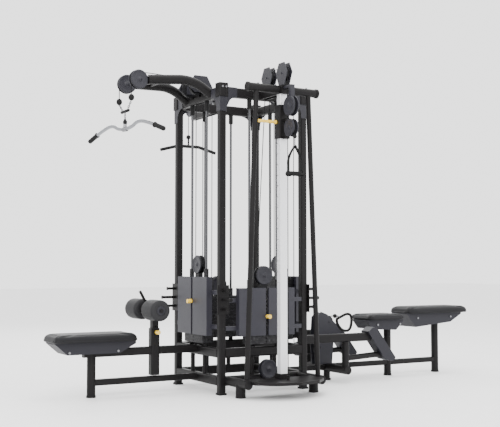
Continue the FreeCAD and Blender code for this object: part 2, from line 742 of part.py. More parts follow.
def guide_wheels():
    """Every wheel that has no joint of its own."""
    tops = [lat_swung([wheel((0, 0, 0), S.strand_spread, "x")], hand, False) for hand in (-1, 1)]
    node("guide_wheels", group(*still_wheels, *tops))


def lat_booms():
    """Two arched tubes that draw together, with a tongue at each tip for the pulley cheeks."""
    pieces = []
    for hand in (-1, 1):
        root = (-S.tower_half, hand * S.boom_root_y, S.column_top + S.top_ring_tall / 2)
        rise = (-S.tower_half - 150, hand * (S.boom_root_y - 14), S.boom_tip_z + 26)
        tip_x = S.boom_tip_x - S.strand_spread - S.wheel_lip - 12
        tip = (-tip_x, hand * S.boom_tip_y, S.boom_tip_z + 6)
        arch = feature(tube_shape([root, rise, tip], [300], S.boom_radius))
        inside = mid_box((-S.tower_half, hand * S.boom_root_y, S.column_top + S.top_ring_tall / 2),
                         (S.ring_wide, S.boom_radius * 3, S.top_ring_tall))
        reach = S.strand_spread + S.wheel_lip + 1
        tongue = lat_swung([box((-S.wheel_wide / 2 - S.cheek_gap, reach, -S.boom_radius * 0.8),
                                (S.wheel_wide + S.cheek_gap * 2, 22, S.boom_radius * 1.6))], hand, True)
        pieces.append(fuse(cut(arch, inside), tongue))
    brace = mid_rod((-S.boom_tip_x + 190, 0, S.boom_tip_z + 14), 16, S.boom_tip_y * 2, "y")
    node("lat_booms", fuse(*pieces, brace))


def boom_tip_covers():
    return [lat_swung([cheeks((0, 0, 0), S.strand_spread, "x")], hand, True) for hand in (-1, 1)]


def lat_tip_pulleys():
    for hand, word in ((1, "front"), (-1, "back")):
        node(f"lat_tip_pulley_{word}", group(lat_swung([wheel((0, 0, 0), S.strand_spread, "x")], hand, True)))


# ---------------------------------------------------------------- pulldown bar
bar_x = S.boom_tip_x + S.strand_spread


def lat_end_cables():
    """The two cable ends that hang from the boom tips to the ball stops."""
    low = S.bar_low + 236
    pieces = [rod((-bar_x, hand * S.boom_tip_y, low), S.cable_radius, S.boom_tip_z - low)
              for hand in (-1, 1)]
    node("lat_end_cables", group(*pieces))


def lat_spreader():
    """Ball stops, two links, the spreader plate and the swivel that carries the bar."""
    top = S.bar_low + 212
    plate_z = S.bar_low + 128
    pieces = []
    for hand in (-1, 1):
        y = hand * S.boom_tip_y
        link = [(-bar_x, y, top), (-bar_x, y, top - 30), (-bar_x, hand * 46, plate_z)]
        pieces.append(fuse(ball((-bar_x, y, top), 24), tube(link, [25], 4)))
    plate_bar = mid_box((-bar_x, 0, plate_z), (12, 124, 26))
    swivel = rod((-bar_x, 0, S.bar_low + 40), 9, plate_z - S.bar_low - 40)
    flange = rod((-bar_x, 0, S.bar_low + 40), 15, 22)
    node("lat_spreader", fuse(*pieces, plate_bar, swivel, flange))


def bar_points(sign):
    """The pulldown bar from its middle to one end: a dip, a hump and a drooped end."""
    steps = ((0, 0), (70, 2), (160, 48), (300, 14), (450, -42))
    return [(0, sign * along, S.bar_low + up) for along, up in steps]


def lat_bar():
    points = bar_points(-1)[:0:-1] + bar_points(1)[1:]
    shaft = tube(points, [50] * (len(points) - 2), S.bar_radius)
    saddle = mid_rod((0, 0, S.bar_low + 2), S.bar_radius + 4, 34, "y")
    boss = rod((0, 0, S.bar_low), 12, 40 - S.slide_play)
    node("lat_bar", fuse(shaft, saddle, boss), S.bar_turn.number, (-bar_x, 0, 0))


def lat_bar_grips():
    """Rubber sleeves over the two drooped ends."""
    pieces = []
    for sign in (-1, 1):
        start, end = [Vector(*[size(v).number for v in point]) for point in bar_points(sign)[-2:]]
        way = end - start
        inner = start + way * 0.34
        over = end + way.normalize() * S.bar_radius.number
        sleeve = Part.makeCylinder((S.bar_radius + 4).number, (over - inner).Length, inner, way)
        core = Part.makeCylinder((S.bar_radius + S.axle_play).number, (end - inner).Length, inner, way)
        pieces.append(feature(sleeve.cut(core)))
    node("lat_bar_grips", group(*pieces), S.bar_turn.number, (-bar_x, 0, 0))


# ---------------------------------------------------------------- pulldown seat
def side_pan(label, start_x, long, top, deep_a, deep_b, half):
    """A tapered seat pan: one long outline padded across the bench."""
    x0, x1 = start_x, start_x + long
    outline = [(x0, top), (x0 + long * 0.16, top - deep_a), (x0 + long * 0.8, top - deep_b), (x1, top - 18),
               (x1, top)]
    return plate_body(label, "XZ_Plane", outline, half * 2, 0, (), 5)


def pad(low, sides):
    return bar(low, sides, "z", 34)


def bench_bolts(places, half):
    return [mid_rod((x, hand * (half + 2.5), z), 8, 5, "y") for x, z in places for hand in (-1, 1)]


seat_x = -S.lat_reach
pan_top = S.seat_top - S.pad_thick


def lat_seat():
    node("lat_seat_pad", group(pad((seat_x, -S.seat_wide / 2, pan_top + S.pad_play),
                                   (S.seat_long, S.seat_wide, S.pad_thick - S.pad_play))))


def lat_leg_and_rail():
    """The round leg under the seat and the upper rail that it carries."""
    face = -S.tower_half - S.ring_wide / 2
    leg_top = pan_top - 54
    leg = rod((-S.lat_foot_x, 0, S.foot_tall), S.leg_radius, leg_top - S.foot_tall)
    rail = bar((-S.lat_foot_x - 60, -25, leg_top - 56), (S.lat_foot_x + 60 + face, 50, 56), "x")
    return leg, rail


def lat_bench_frame():
    """One leg under the seat, two rails back to the tower and the sleeve for the knee post."""
    face = -S.tower_half - S.ring_wide / 2
    leg_top = pan_top - 54
    leg, high_rail = lat_leg_and_rail()
    low_rail = bar((-S.lat_foot_x, -22, 78), (S.lat_foot_x + face, 44, 44), "x")
    sleeve = cut(bar((-S.roller_x - 32, -32, 128), (64, 64, 330), "z"),
                 mid_box((-S.roller_x, 0, 330), (46 + S.slide_play * 2, 46 + S.slide_play * 2, 520)))
    bore = mid_box((-S.roller_x, 0, leg_top - 28), (46 + S.slide_play * 2, 46 + S.slide_play * 2, 90))
    pin_bore = mid_rod((-S.roller_x, -30, 430), 6, 40, "y")
    node("lat_bench_frame", cut(fuse(leg, low_rail, high_rail, sleeve), bore, pin_bore))


def knee_parts():
    """The sliding post with its cross axle and lever, two rollers, and the pull pin."""
    post = mid_box((-S.roller_x, 0, (S.roller_z + 170) / 2), (46, 46, S.roller_z - 170))
    holes = [mid_rod((-S.roller_x, -23, 430 + n * 40), 5.5, 20, "y") for n in (-4, -3, -2, -1, 0, 1, 2)]
    reach = S.roller_gap / 2 + S.roller_long
    axle_x = -S.roller_x - S.roller_out
    axle = mid_rod((axle_x, 0, S.roller_z), 14, reach * 2 + 12, "y")
    hub = mid_rod((axle_x, 0, S.roller_z), 36, S.roller_gap - 8, "y")
    arm = bar((axle_x, -20, S.roller_z - 44), (S.roller_out, 40, 44), "x")
    lever = slanted_rod((axle_x + 8, 0, S.roller_z + 20), -62, 112, 10)
    node("knee_post", cut(fuse(post, arm, axle, hub, lever), *holes))
    rollers = []
    for hand in (-1, 1):
        y = hand * (S.roller_gap / 2 + S.roller_long / 2)
        foam = mid_rod((axle_x, y, S.roller_z), S.roller_radius, S.roller_long - 8, "y")
        rollers.append(cut(foam, mid_rod((axle_x, y, S.roller_z), 14 + S.axle_play, S.roller_long, "y")))
    node("knee_rollers", group(*rollers))
    shank = rod((-S.roller_x, -32 - 44, 430), 5, 44 + 8.5, "y")
    knob = rod((-S.roller_x, -32 - 48, 430), 15, 34, "y")
    node("knee_pin", fuse(shank, knob))


# ---------------------------------------------------------------- front column station
frame_y = -S.frame_y


def a_frame():
    """Crossbar, leaning legs, base tubes back to the tower and two tie plates."""
    cross = mid_rod((0, frame_y, S.crossbar_z), S.crossbar_radius, S.crossbar_half * 2, "x")
    pieces = [cross]
    for hand in (-1, 1):
        lean = hand * (S.leg_top_x - S.leg_foot_x)
        pieces.append(slanted_rod((hand * S.leg_foot_x, frame_y, S.base_tube_z), lean,
                                  S.crossbar_z - S.base_tube_z, S.slant_radius))
        tube_end = S.frame_y + 42
        face = S.tower_half + S.ring_wide / 2
        pieces.append(rod((hand * S.base_tube_x, -tube_end, S.base_tube_z), S.base_tube_radius,
                          tube_end - face, "y"))
        end = (hand * S.crossbar_half, frame_y, S.crossbar_z)
        pieces.append(mid_rod(end, S.crossbar_radius + 4, 16, "x"))
        face_gap = S.tie_gap / 2
        x = face_gap if hand > 0 else -face_gap - 12
        pieces.append(box((x, frame_y, S.crossbar_z - S.tie_tall / 2), (12, S.frame_y - face, S.tie_tall)))
    for hand in (-1, 1):
        pieces.append(rod((hand * S.base_tube_x, -541, 0), 36, 10))
        pieces.append(rod((hand * S.base_tube_x, -541, 10), 34, S.base_tube_z - 10))
    clamp = mid_box((0, frame_y, S.crossbar_z), (66, S.crossbar_radius * 2 + 16, S.tie_tall))
    node("a_frame", fuse(*pieces, clamp))


def front_base_plate():
    """A lens-shaped plate between the base tubes, with a socket for the column and a cable stud."""
    nose = S.front_reach
    wide = S.base_tube_x - 20
    back = -S.frame_y + 70
    points = [(-wide, back), (-wide, -nose + 150), (-wide * 0.62, -nose + 48), (0, -nose),
              (wide * 0.62, -nose + 48), (wide, -nose + 150), (wide, back)]
    slab = plate_body("base_plate", "XY_Plane", points, 20, S.base_tube_z + 12)
    low = S.base_tube_z + 22
    socket = cut(mid_box((0, -S.column_y, low + 18), (S.column_wide + 20, S.column_deep + 20, 36)),
                 mid_box((0, -S.column_y, S.column_foot + 60), (S.column_wide, S.column_deep, 120)))
    stud = rod((0, -S.swivel_y, low - 2), 9, S.column_foot + 26 - low)
    tubes = [rod((hand * S.base_tube_x, -S.frame_y - 42, S.base_tube_z), S.base_tube_radius, 300, "y")
             for hand in (-1, 1)]
    node("front_base_plate", cut(fuse(slab, socket, stud), *tubes))


def front_column():
    """A hollow light column with a groove down its face and a row of index holes."""
    low, tall = S.column_foot, S.crossbar_z - S.tie_tall / 2 - S.column_foot
    corner = (-S.column_wide / 2, -S.column_y - S.column_deep / 2, low)
    outer = bar(corner, (S.column_wide, S.column_deep, tall), "z", 7)
    inner = mid_box((0, -S.column_y, low + tall / 2), (S.column_wide - 7, S.column_deep - 7, tall + 4))
    groove = box((-S.column_wide / 2 - 1, -S.column_y - 3, low), (2, 6, tall))
    holes = []
    count = 21
    for number in range(count):
        holes.append(mid_rod((-S.column_wide / 2, -S.column_y + 12, S.carriage_low + S.carriage_tall / 2
                              - number * S.hole_pitch), 5.5, 12, "x"))
    node("front_column", cut(outer, inner, groove, *holes))


def carriage():
    """The sliding block round the column, with two knuckles for the swivel pulley."""
    wall = S.carriage_wall
    wide, deep = S.column_wide + wall * 2, S.column_deep + wall * 2
    block = bar((-wide / 2, -S.column_y - deep / 2, S.carriage_low), (wide, deep, S.carriage_tall), "z", 7)
    bore = mid_box((0, -S.column_y, S.carriage_low + S.carriage_tall / 2),
                   (S.column_wide + S.slide_play * 2, S.column_deep + S.slide_play * 2, S.carriage_tall * 2))
    knuckles = []
    for z in (S.swivel_z - 62, S.swivel_z + 62):
        arm_y = S.column_y + deep / 2 - 2
        knuckles.append(box((-15, -S.swivel_y, z - 8), (30, S.swivel_y - arm_y, 16)))
        knuckles.append(mid_rod((0, -S.swivel_y, z), 15, 16, "z"))
    cable_way = [mid_rod((0, -S.swivel_y, S.swivel_z), 8, 220, "z")]
    pin_way = mid_rod((-wide / 2, -S.column_y + 12, S.carriage_low + S.carriage_tall / 2), 5.6, 60, "x")
    window = cut(fuse(block, *knuckles), bore, *cable_way, pin_way)
    node("carriage", window)


def carriage_handle():
    """The long pull handle on the spring pin that locks the carriage."""
    z = S.carriage_low + S.carriage_tall / 2
    y = -S.column_y + 12
    face = -S.column_wide / 2 - S.carriage_wall
    shank = rod((face - 12, y, z), 5, 12 + S.carriage_wall - 0.5, "x")
    grip = rod((face - 152, y, z), 11, 140, "x")
    collar = rod((face - 12, y, z), 14, 11.5, "x")
    node("carriage_handle", fuse(shank, grip, collar))


def swivel_pulley():
    """The round cheeks that turn on the carriage, with the wheel that the handle cable runs over."""
    y = -S.swivel_y - small
    gap = S.wheel_wide + S.cheek_gap * 2
    frame = cheeks((0, y, S.swivel_z), small + 4, "x")
    lugs = []
    for z in (S.swivel_z - 62 + 8.3, S.swivel_z + 62 - 8.3 - 8):
        lugs.append(cut(fuse(mid_rod((0, -S.swivel_y, z + 4), 15, 8, "z"),
                             box((-15, -S.swivel_y - 34, z), (30, 34, 8))),
                        mid_rod((0, -S.swivel_y, z + 4), 8, 20, "z")))
    hub = mid_rod((0, y, S.swivel_z), S.axle_radius, gap + 12, "x")
    room = mid_rod((0, y, S.swivel_z), small + S.wheel_lip + 2, gap, "x")
    clear = [mid_rod((0, -S.swivel_y, S.swivel_z + side * 62), 22, 17, "z") for side in (-1, 1)]
    body = fuse(cut(fuse(frame, *lugs), room, *clear), hub)
    node("swivel_pulley", body)
    node("swivel_wheel", group(wheel((0, y, S.swivel_z), small, "x")))


def strap_handle():
    """A ball stop, a link, a webbing triangle and the tube grip at its foot."""
    y = -S.swivel_y - small * 2
    top = S.swivel_z - 66
    stop = ball((0, y, top), 15)
    link = rod((0, y, top - 74), 5, 70)
    apex = top - 74
    foot = apex - 168
    half = 58
    strips = []
    for hand in (-1, 1):
        outline = [(hand * 4, apex), (hand * (half + 4), foot), (hand * (half - 4), foot), (-hand * 4, apex)]
        strips.append(plate_body(f"strap_{hand + 1}", "XZ_Plane", outline, 26, y))
    eye = mid_rod((0, y, apex - 2), 9, 26, "y")
    node("strap_handle", group(fuse(stop, link, *strips, eye)))
    node("handle_grip", group(mid_rod((0, y, foot - 16), 16, half * 2 + 16, "x")))


def column_pulley_covers():
    """The guide pulley under the crossbar and the low pulleys behind the column foot."""
    gap = S.wheel_wide + S.cheek_gap * 2
    high_z = S.crossbar_z - S.guide_drop
    middle = (0, -S.swivel_y - small, high_z)
    hanger = box((-gap / 2 - S.cheek_thick, -S.swivel_y - small - 20, high_z),
                 (gap + S.cheek_thick * 2, 24, S.crossbar_z - high_z + 20))
    arm = box((-gap / 2 - S.cheek_thick, -S.swivel_y - 42, S.crossbar_z + 4),
              (gap + S.cheek_thick * 2, S.swivel_y + 42 - S.frame_y - S.crossbar_radius - 8, 16))
    room = mid_rod(middle, small + S.wheel_lip + 3, gap, "x")
    way = mid_box((0, -S.swivel_y, S.crossbar_z), (14, 14, 200))
    pieces = [fuse(cut(fuse(hanger, arm), room, way), cheeks(middle, small + 12, "x"))]
    still_wheels.append(wheel(middle, small, "x"))
    low = (0, -S.tower_half - 62, 170)
    pieces.append(fuse(cheeks(low, small + 8, "y"),
                       box((-20, -S.tower_half - 50, 100), (40, 50 - S.ring_wide / 2, 24))))
    still_wheels.append(wheel(low, small, "y"))
    return pieces


def pulley_covers():
    node("pulley_covers", group(*top_pulley_housings(), *boom_tip_covers(), *column_pulley_covers()))


# ---------------------------------------------------------------- back station
def back_arm():
    """A beam out from the ring with two cheeks at its tip."""
    face = S.tower_half + S.ring_wide / 2
    gap = S.wheel_wide + S.cheek_gap * 2
    start = S.tower_half + S.strand_spread * 2 + 40
    beam_end = tip_wheel_y - S.strand_spread - S.wheel_lip - 8
    sides = [box((hand * (gap / 2 + 6) - 6, face, top_ring_top - 62), (12, beam_end - face + 30, 58))
             for hand in (-1, 1)]
    filler = mid_box((0, (start + beam_end) / 2 + 30, top_ring_top - 33), (gap + 4, 60, 50))
    stem = box((-gap / 2 - 12, beam_end - 24, top_ring_top - 62), (gap + 24, 54, 58))
    hollow = mid_rod((0, tip_wheel_y, wheel_z), S.strand_spread + S.wheel_lip + 3, gap, "x")
    frame = fuse(*sides, stem, filler)
    node("back_arm", fuse(cut(frame, hollow), cheeks((0, tip_wheel_y, wheel_z), S.strand_spread, "x")))
    node("back_tip_pulley", group(wheel((0, tip_wheel_y, wheel_z), S.strand_spread, "x")))


def back_end():
    """The hanging cable end and the angled pushdown bar with its ball stop."""
    y = tip_wheel_y + S.strand_spread
    stop_z = S.back_bar_z + 78
    node("back_end_cable", group(rod((0, y, stop_z + S.stop_radius + S.slide_play), S.cable_radius,
                                  wheel_z - stop_z - S.stop_radius - S.slide_play)))
    stop = fuse(ball((0, y, stop_z), S.stop_radius), rod((0, y, S.back_bar_z), 7, 70))
    half = S.back_bar_half
    points = [(-half, y, S.back_bar_z - 42), (-half * 0.38, y, S.back_bar_z), (half * 0.38, y, S.back_bar_z),
              (half, y, S.back_bar_z - 42)]
    node("pushdown_bar", fuse(stop, tube(points, [60, 60], S.bar_radius)))


# ---------------------------------------------------------------- rowing bench
def row_legs():
    """The two round legs under the pans."""
    return [rod((x, 0, S.foot_tall), S.leg_radius, top - S.foot_tall)
            for x, top in ((S.row_foot_a, S.row_front_top - 113), (S.row_foot_b, S.row_rear_top - 130))]


def row_beams(hand):
    """The straight upper beam and the curved lower one on one side."""
    y = hand * S.side_frame_y
    face = S.tower_half + S.ring_wide / 2
    end = S.side_post_x + 250
    low = [(S.side_post_x, y, 190), (S.side_post_x + 300, y, 206), (S.side_post_x + 430, y, 172)]
    return [bar((face, y - 22, S.row_beam_z - S.row_beam_tall / 2), (end - face, 44, S.row_beam_tall), "x"),
            tube(low, [180], 22)]


def row_seats():
    """Two pads on tapered pans; the front one is shorter and lower."""
    front_low = S.row_front_top - S.pad_thick + 10
    rear_low = S.row_rear_top - S.pad_thick + 6
    front_pad = pad((S.row_front_start, -S.row_pad_wide / 2, front_low + S.pad_play),
                    (S.row_front_long, S.row_pad_wide, S.row_front_top - front_low))
    rear_pad = pad((S.row_rear_start, -S.row_pad_wide / 2, rear_low + S.pad_play),
                   (S.row_reach - S.row_rear_start, S.row_pad_wide, S.row_rear_top - rear_low))
    node("row_pads", group(front_pad, rear_pad))
    half = S.row_pad_wide / 2 - 44
    front = side_pan("front_pan", S.row_front_start, S.row_front_long + 4, front_low, 74, 86, half)
    rear_long = S.row_reach - S.row_rear_start - 60
    rear = side_pan("rear_pan", S.row_rear_start, rear_long, rear_low, 118, 84, half)
    legs = row_legs()
    lat = side_pan("lat_pan", -S.lat_reach + 12, S.seat_long - 24, pan_top, 80, 80, half)
    node("seat_pans", group(cut(front, legs[0]), cut(rear, legs[1]), cut(lat, *lat_leg_and_rail())))


def row_frame():
    """Beams and a post on each side of one cross tube, a low rail and two legs."""
    face = S.tower_half + S.ring_wide / 2
    cross = mid_rod((S.side_post_x, 0, S.cross_tube_z), S.base_tube_radius, (S.side_frame_y + 36) * 2, "y")
    post_top = S.row_beam_z - S.row_beam_tall / 2
    posts = []
    pieces = []
    for hand in (-1, 1):
        foot = (S.side_post_x, hand * S.side_frame_y, S.cross_tube_z)
        posts.append(rod(foot, 28, post_top - S.cross_tube_z))
        beam, low = row_beams(hand)
        pieces.append(beam)
        pieces.append(cut(low, rod(foot, 28, post_top - S.cross_tube_z)))
    legs = row_legs()
    room = mid_rod((S.side_post_x, 0, S.cross_tube_z), S.base_tube_radius, S.side_frame_y, "y")
    near_rail = bar((face, -20, S.cross_tube_z - 20), (S.side_post_x - face, 40, 40), "x")
    pieces.append(cut(near_rail, room))
    far_rail = bar((S.side_post_x, -21, 86), (S.row_foot_b - S.side_post_x, 42, 42), "x")
    pieces.append(cut(far_rail, room, *row_legs()))
    foot = cut(rod((S.side_post_x, 0, S.foot_tall), 26, S.cross_tube_z - S.foot_tall), room)
    node("row_frame", group(fuse(cross, *posts), *pieces, foot, *legs))


def footplates():
    """Two leaning boxes for the feet, one on each side frame."""
    x0 = S.side_post_x + 232
    outline = [(x0, 420), (x0 + 22, 424), (x0 + 46, 408), (x0 + 224, 178), (x0 + 196, 150), (x0 + 120, 168),
               (x0 - 46, 388)]
    pieces = []
    for hand in (-1, 1):
        block = plate_body(f"footplate_{hand + 1}", "XZ_Plane", outline, 96, hand * S.side_frame_y, (), 8)
        pieces.append(cut(block, *row_beams(hand)))
    node("footplates", group(*pieces))


def row_pulley_housing():
    """A leaning box of two side plates that holds the rowing pulley."""
    x, z = S.row_wheel_x, S.row_wheel_z
    rail_top = S.cross_tube_z + 20
    outline = [(x - 126, z + 42), (x - 80, z + 84), (x - 20, z + 62), (x + 62, z - 14), (x + 126, z - 112),
               (x + 40, z - 150), (x + 24, rail_top + 8), (x - 128, rail_top + 8), (x - 140, z - 150)]
    gap = S.wheel_wide + S.cheek_gap * 18
    pieces = [plate_body(f"row_cheek_{hand + 1}", "XZ_Plane", outline, 6, hand * (gap / 2 + 3))
              for hand in (-1, 1)]
    for hand in (-1, 1):
        inner = S.wheel_wide / 2 + S.cheek_gap
        low = inner if hand > 0 else -gap / 2
        pieces.append(box((x - 12, low, z - 12), (24, gap / 2 - inner, 24)))
    pieces.append(mid_rod((x, 0, z), S.axle_radius, gap + 24, "y"))
    pieces.append(box((x + 4, -gap / 2, rail_top + 8), (20, gap, 12)))
    near_end, far_end = low_line()
    across, out, angle = away(near_end, far_end)
    middle = (far_end[0] - small * across, far_end[1] - small * out, S.low_run_z + small)
    place = turned([middle], "right")[0]
    pieces.append(swung([mid_rod((0, 0, 0), S.axle_radius, gap + 8, "x")], place, angle + TURNS["right"]))
    tube_room = mid_rod((S.side_post_x, 0, S.cross_tube_z), S.base_tube_radius, S.side_frame_y, "y")
    still_wheels.append(swung([wheel((0, 0, 0), small, "x")], place, angle + TURNS["right"]))
    node("row_pulley_housing", cut(fuse(*pieces), tube_room))
    node("row_pulley", group(wheel((x, 0, z), small, "y")))


def row_handle():
    """The ball stop and the closed loop that the rower pulls."""
    x, z = S.row_wheel_x + S.row_stop_out, S.row_wheel_z + small
    stop = ball((x + 17, 0, z), 17)
    loop = [(x + 40, 0, z - 8), (x + 186, 0, z + 26), (x + 176, 0, z - 118), (x + 92, 0, z - 124),
            (x + 36, 0, z - 60),
            (x + 36, 0, z - 26)]
    grip = tube(loop, [34, 26, 30, 20], 11)
    close = tube([(x + 36, 0, z - 40), (x + 36, 0, z - 8), (x + 60, 0, z - 3)], [9], 11)
    neck = rod((x + 20, 0, z), 6, 24, "x")
    node("row_handle", fuse(stop, grip, close, neck))


def rubber_feet():
    """Feet under the columns and the bench legs."""
    pieces = []
    for side in (-1, 1):
        for depth in (-1, 1):
            pieces.append(mid_box((side * S.tower_half, depth * S.tower_half, S.foot_tall / 2),
                                  (S.column_side + 8, S.column_side + 8, S.foot_tall)))
    for x in (-S.lat_foot_x, S.row_foot_a, S.row_foot_b, S.side_post_x):
        pieces.append(rod((x, 0, 0), S.leg_radius + 3, S.foot_tall))
    node("rubber_feet_and_bumpers", group(*pieces, *rod_bumpers()))


def bolts():
    """Round heads on the castings, the crossbar and the seat pans."""
    half = S.row_pad_wide / 2 - 44
    pieces = bench_bolts(((S.row_front_start + 110, 424), (S.row_front_start + 340, 424),
                          (S.row_rear_start + 120, 466), (S.row_rear_start + 480, 470),
                          (-S.lat_reach + 118, 318), (-S.lat_reach + 466, 318)), half)
    for side in (-1, 1):
        for depth in (-1, 1):
            for shift in (-14, 14):
                head = (side * S.tower_half + shift, depth * (S.tower_half + S.gusset_out / 2 + 3),
                        S.column_top + S.gusset_tall * 0.7)
                pieces.append(mid_rod(head, 7, 6, "y"))
    for x in (-200, -60, 60, 200):
        pieces.append(rod((x, frame_y, S.crossbar_z + S.crossbar_radius - 2), 7, 8))
    node("frame_bolts_and_clamps", group(*pieces, *cable_anchors()))


def build():
    tower_columns()
    top_ring()
    lower_rings()
    guide_rods()
    resting_plates()
    stack_guards()
    peg_brackets()
    for side in ("front", "right", "back", "left"):
        lifted_plates(side)
        lift_pulley(side)
        selector_pin(side)
        stack_cable(side)
    cable_runs()
    pulley_covers()
    lat_booms()
    lat_tip_pulleys()
    lat_end_cables()
    lat_spreader()
    lat_bar()
    lat_bar_grips()
    lat_seat()
    lat_bench_frame()
    knee_parts()
    a_frame()
    front_base_plate()
    front_column()
    carriage()
    carriage_handle()
    swivel_pulley()
    strap_handle()
    back_arm()
    back_end()
    row_seats()
    row_frame()
    footplates()
    row_pulley_housing()
    row_handle()
    guide_wheels()
    rubber_feet()
    bolts()


build()
doc.recompute()
for item in doc.Objects:
    if "Invalid" in item.State or "Error" in item.State:
        raise ValueError(f"{item.Name} ({item.Label}) failed: {item.State}")
os.makedirs("parts", exist_ok=True)
for item in nodes:
    if item.Shape.isNull() or not item.Shape.isValid() or not item.Shape.Solids:
        raise ValueError(f"{item.Label} has no valid solid")
    item.Shape.exportStep(f"parts/{item.Label}.step")
whole = Part.makeCompound([item.Shape for item in nodes]).BoundBox
print(len(nodes), "pieces;", "box", [round(v, 1) for v in (whole.XMin, whole.XMax, whole.YMin, whole.YMax,
                                                          whole.ZMin, whole.ZMax)])
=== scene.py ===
import bmesh
import bpy
import json
import math
import numpy as np
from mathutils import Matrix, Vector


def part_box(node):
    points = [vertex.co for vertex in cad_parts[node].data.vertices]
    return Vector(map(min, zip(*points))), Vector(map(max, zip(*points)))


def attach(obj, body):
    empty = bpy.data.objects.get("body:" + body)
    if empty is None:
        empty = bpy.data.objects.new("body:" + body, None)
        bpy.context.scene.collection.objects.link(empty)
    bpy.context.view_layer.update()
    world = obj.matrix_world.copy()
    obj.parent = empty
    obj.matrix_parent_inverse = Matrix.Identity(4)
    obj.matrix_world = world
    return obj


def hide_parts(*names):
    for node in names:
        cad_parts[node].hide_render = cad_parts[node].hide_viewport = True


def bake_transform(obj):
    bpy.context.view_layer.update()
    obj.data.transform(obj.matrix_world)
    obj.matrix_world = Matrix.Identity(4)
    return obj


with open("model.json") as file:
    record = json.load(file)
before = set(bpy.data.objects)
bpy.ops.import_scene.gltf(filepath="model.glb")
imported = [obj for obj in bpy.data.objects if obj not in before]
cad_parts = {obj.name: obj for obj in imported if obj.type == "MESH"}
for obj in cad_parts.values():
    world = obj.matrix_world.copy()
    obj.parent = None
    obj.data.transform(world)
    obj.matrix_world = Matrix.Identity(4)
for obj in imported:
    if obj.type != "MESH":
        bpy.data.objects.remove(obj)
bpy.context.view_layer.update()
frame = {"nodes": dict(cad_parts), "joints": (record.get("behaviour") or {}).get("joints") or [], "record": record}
nodes = frame["nodes"]
slotOf = {s["node"]: s["material_slot"] for s in frame["record"]["subparts"]}
joints = {j["name"]: j for j in frame["joints"]}


def lowHigh(name):
    lo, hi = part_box(name)
    return np.array(lo, float), np.array(hi, float)


# ---- the tower's place, and the way out from its middle to each stack
swivelPlace = np.array(joints["swivel_turn"]["pos_m"])
swivelToTower = 0.675
sideWays = {"front": (0, -1, 0), "right": (1, 0, 0), "back": (0, 1, 0), "left": (-1, 0, 0)}


def towerPlace():
    return np.array([swivelPlace[0], swivelPlace[1] + swivelToTower, 0])


def towerMiddleX():
    lo, hi = lowHigh("tower_columns")
    return (lo[0] + hi[0]) / 2


# ---- camera, floor and light
view = {"eye": (-3.825, -6.091, 0.900), "pitch": 93.23, "roll": 0.0, "yaw": -30.39, "lens": 66.73}
lampSettings = {
    "key": {"at": (-4.2, -5.2, 5.2), "size": 3.6, "power": 330, "tint": (1.0, 0.99, 0.97)},
    "fill": {"at": (5.0, -4.6, 3.4), "size": 4.5, "power": 120, "tint": (0.97, 0.98, 1.0)},
    "rim": {"at": (0.5, 5.5, 4.6), "size": 4.0, "power": 160, "tint": (1.0, 1.0, 1.0)},
    "top": {"at": (0.0, -0.5, 6.0), "size": 5.0, "power": 170, "tint": (1.0, 1.0, 1.0)},
}
lampAim = (0.0, 0.0, 1.0)
sensorWidth, worldStrength = 36, 2.4


def makeCamera():
    cam = bpy.data.cameras.new("viewCamera")
    cam.lens = view["lens"]
    cam.sensor_width = sensorWidth
    cam.dof.use_dof = False
    holder = bpy.data.objects.new("viewCamera", cam)
    holder.location = view["eye"]
    holder.rotation_euler = [math.radians(view[k]) for k in ("pitch", "roll", "yaw")]
    bpy.context.scene.collection.objects.link(holder)
    bpy.context.scene.camera = holder


def makeLamps():
    for name, s in lampSettings.items():
        lamp = bpy.data.lights.new(name, "AREA")
        lamp.shape = "DISK"
        lamp.size, lamp.energy, lamp.color = s["size"], s["power"], s["tint"]
        holder = bpy.data.objects.new(name, lamp)
        holder.location = s["at"]
        aim = np.array(lampAim) - np.array(s["at"])
        flat = math.hypot(aim[0], aim[1])
        holder.rotation_euler = (math.atan2(flat, -aim[2]), 0, math.atan2(-aim[0], aim[1]))
        bpy.context.scene.collection.objects.link(holder)
    world = bpy.data.worlds.new("studio")
    world.use_nodes = True
    back = world.node_tree.nodes["Background"]
    back.inputs["Color"].default_value = (1, 1, 1, 1)
    back.inputs["Strength"].default_value = worldStrength
    bpy.context.scene.world = world


# ---- shader maths: a socket that takes the usual operators
class Sock:
    def __init__(self, mat, link):
        self.mat, self.link = mat, link

    def math(self, op, other=None, swap=False):
        ins = [self] if other is None else ([other, self] if swap else [self, other])
        return self.mat.node("ShaderNodeMath", {"operation": op}, dict(enumerate(ins)))

    def __add__(self, other):
        return self.math("ADD", other)

    def __sub__(self, other):
        return self.math("SUBTRACT", other)

    def __rsub__(self, other):
        return self.math("SUBTRACT", other, True)

    def __mul__(self, other):
        return self.math("MULTIPLY", other)

    def power(self, other):
        return self.math("POWER", other)

    def sine(self):
        return self.math("SINE")

    def least(self, other):
        return self.math("MINIMUM", other)

    __radd__ = __add__
    __rmul__ = __mul__


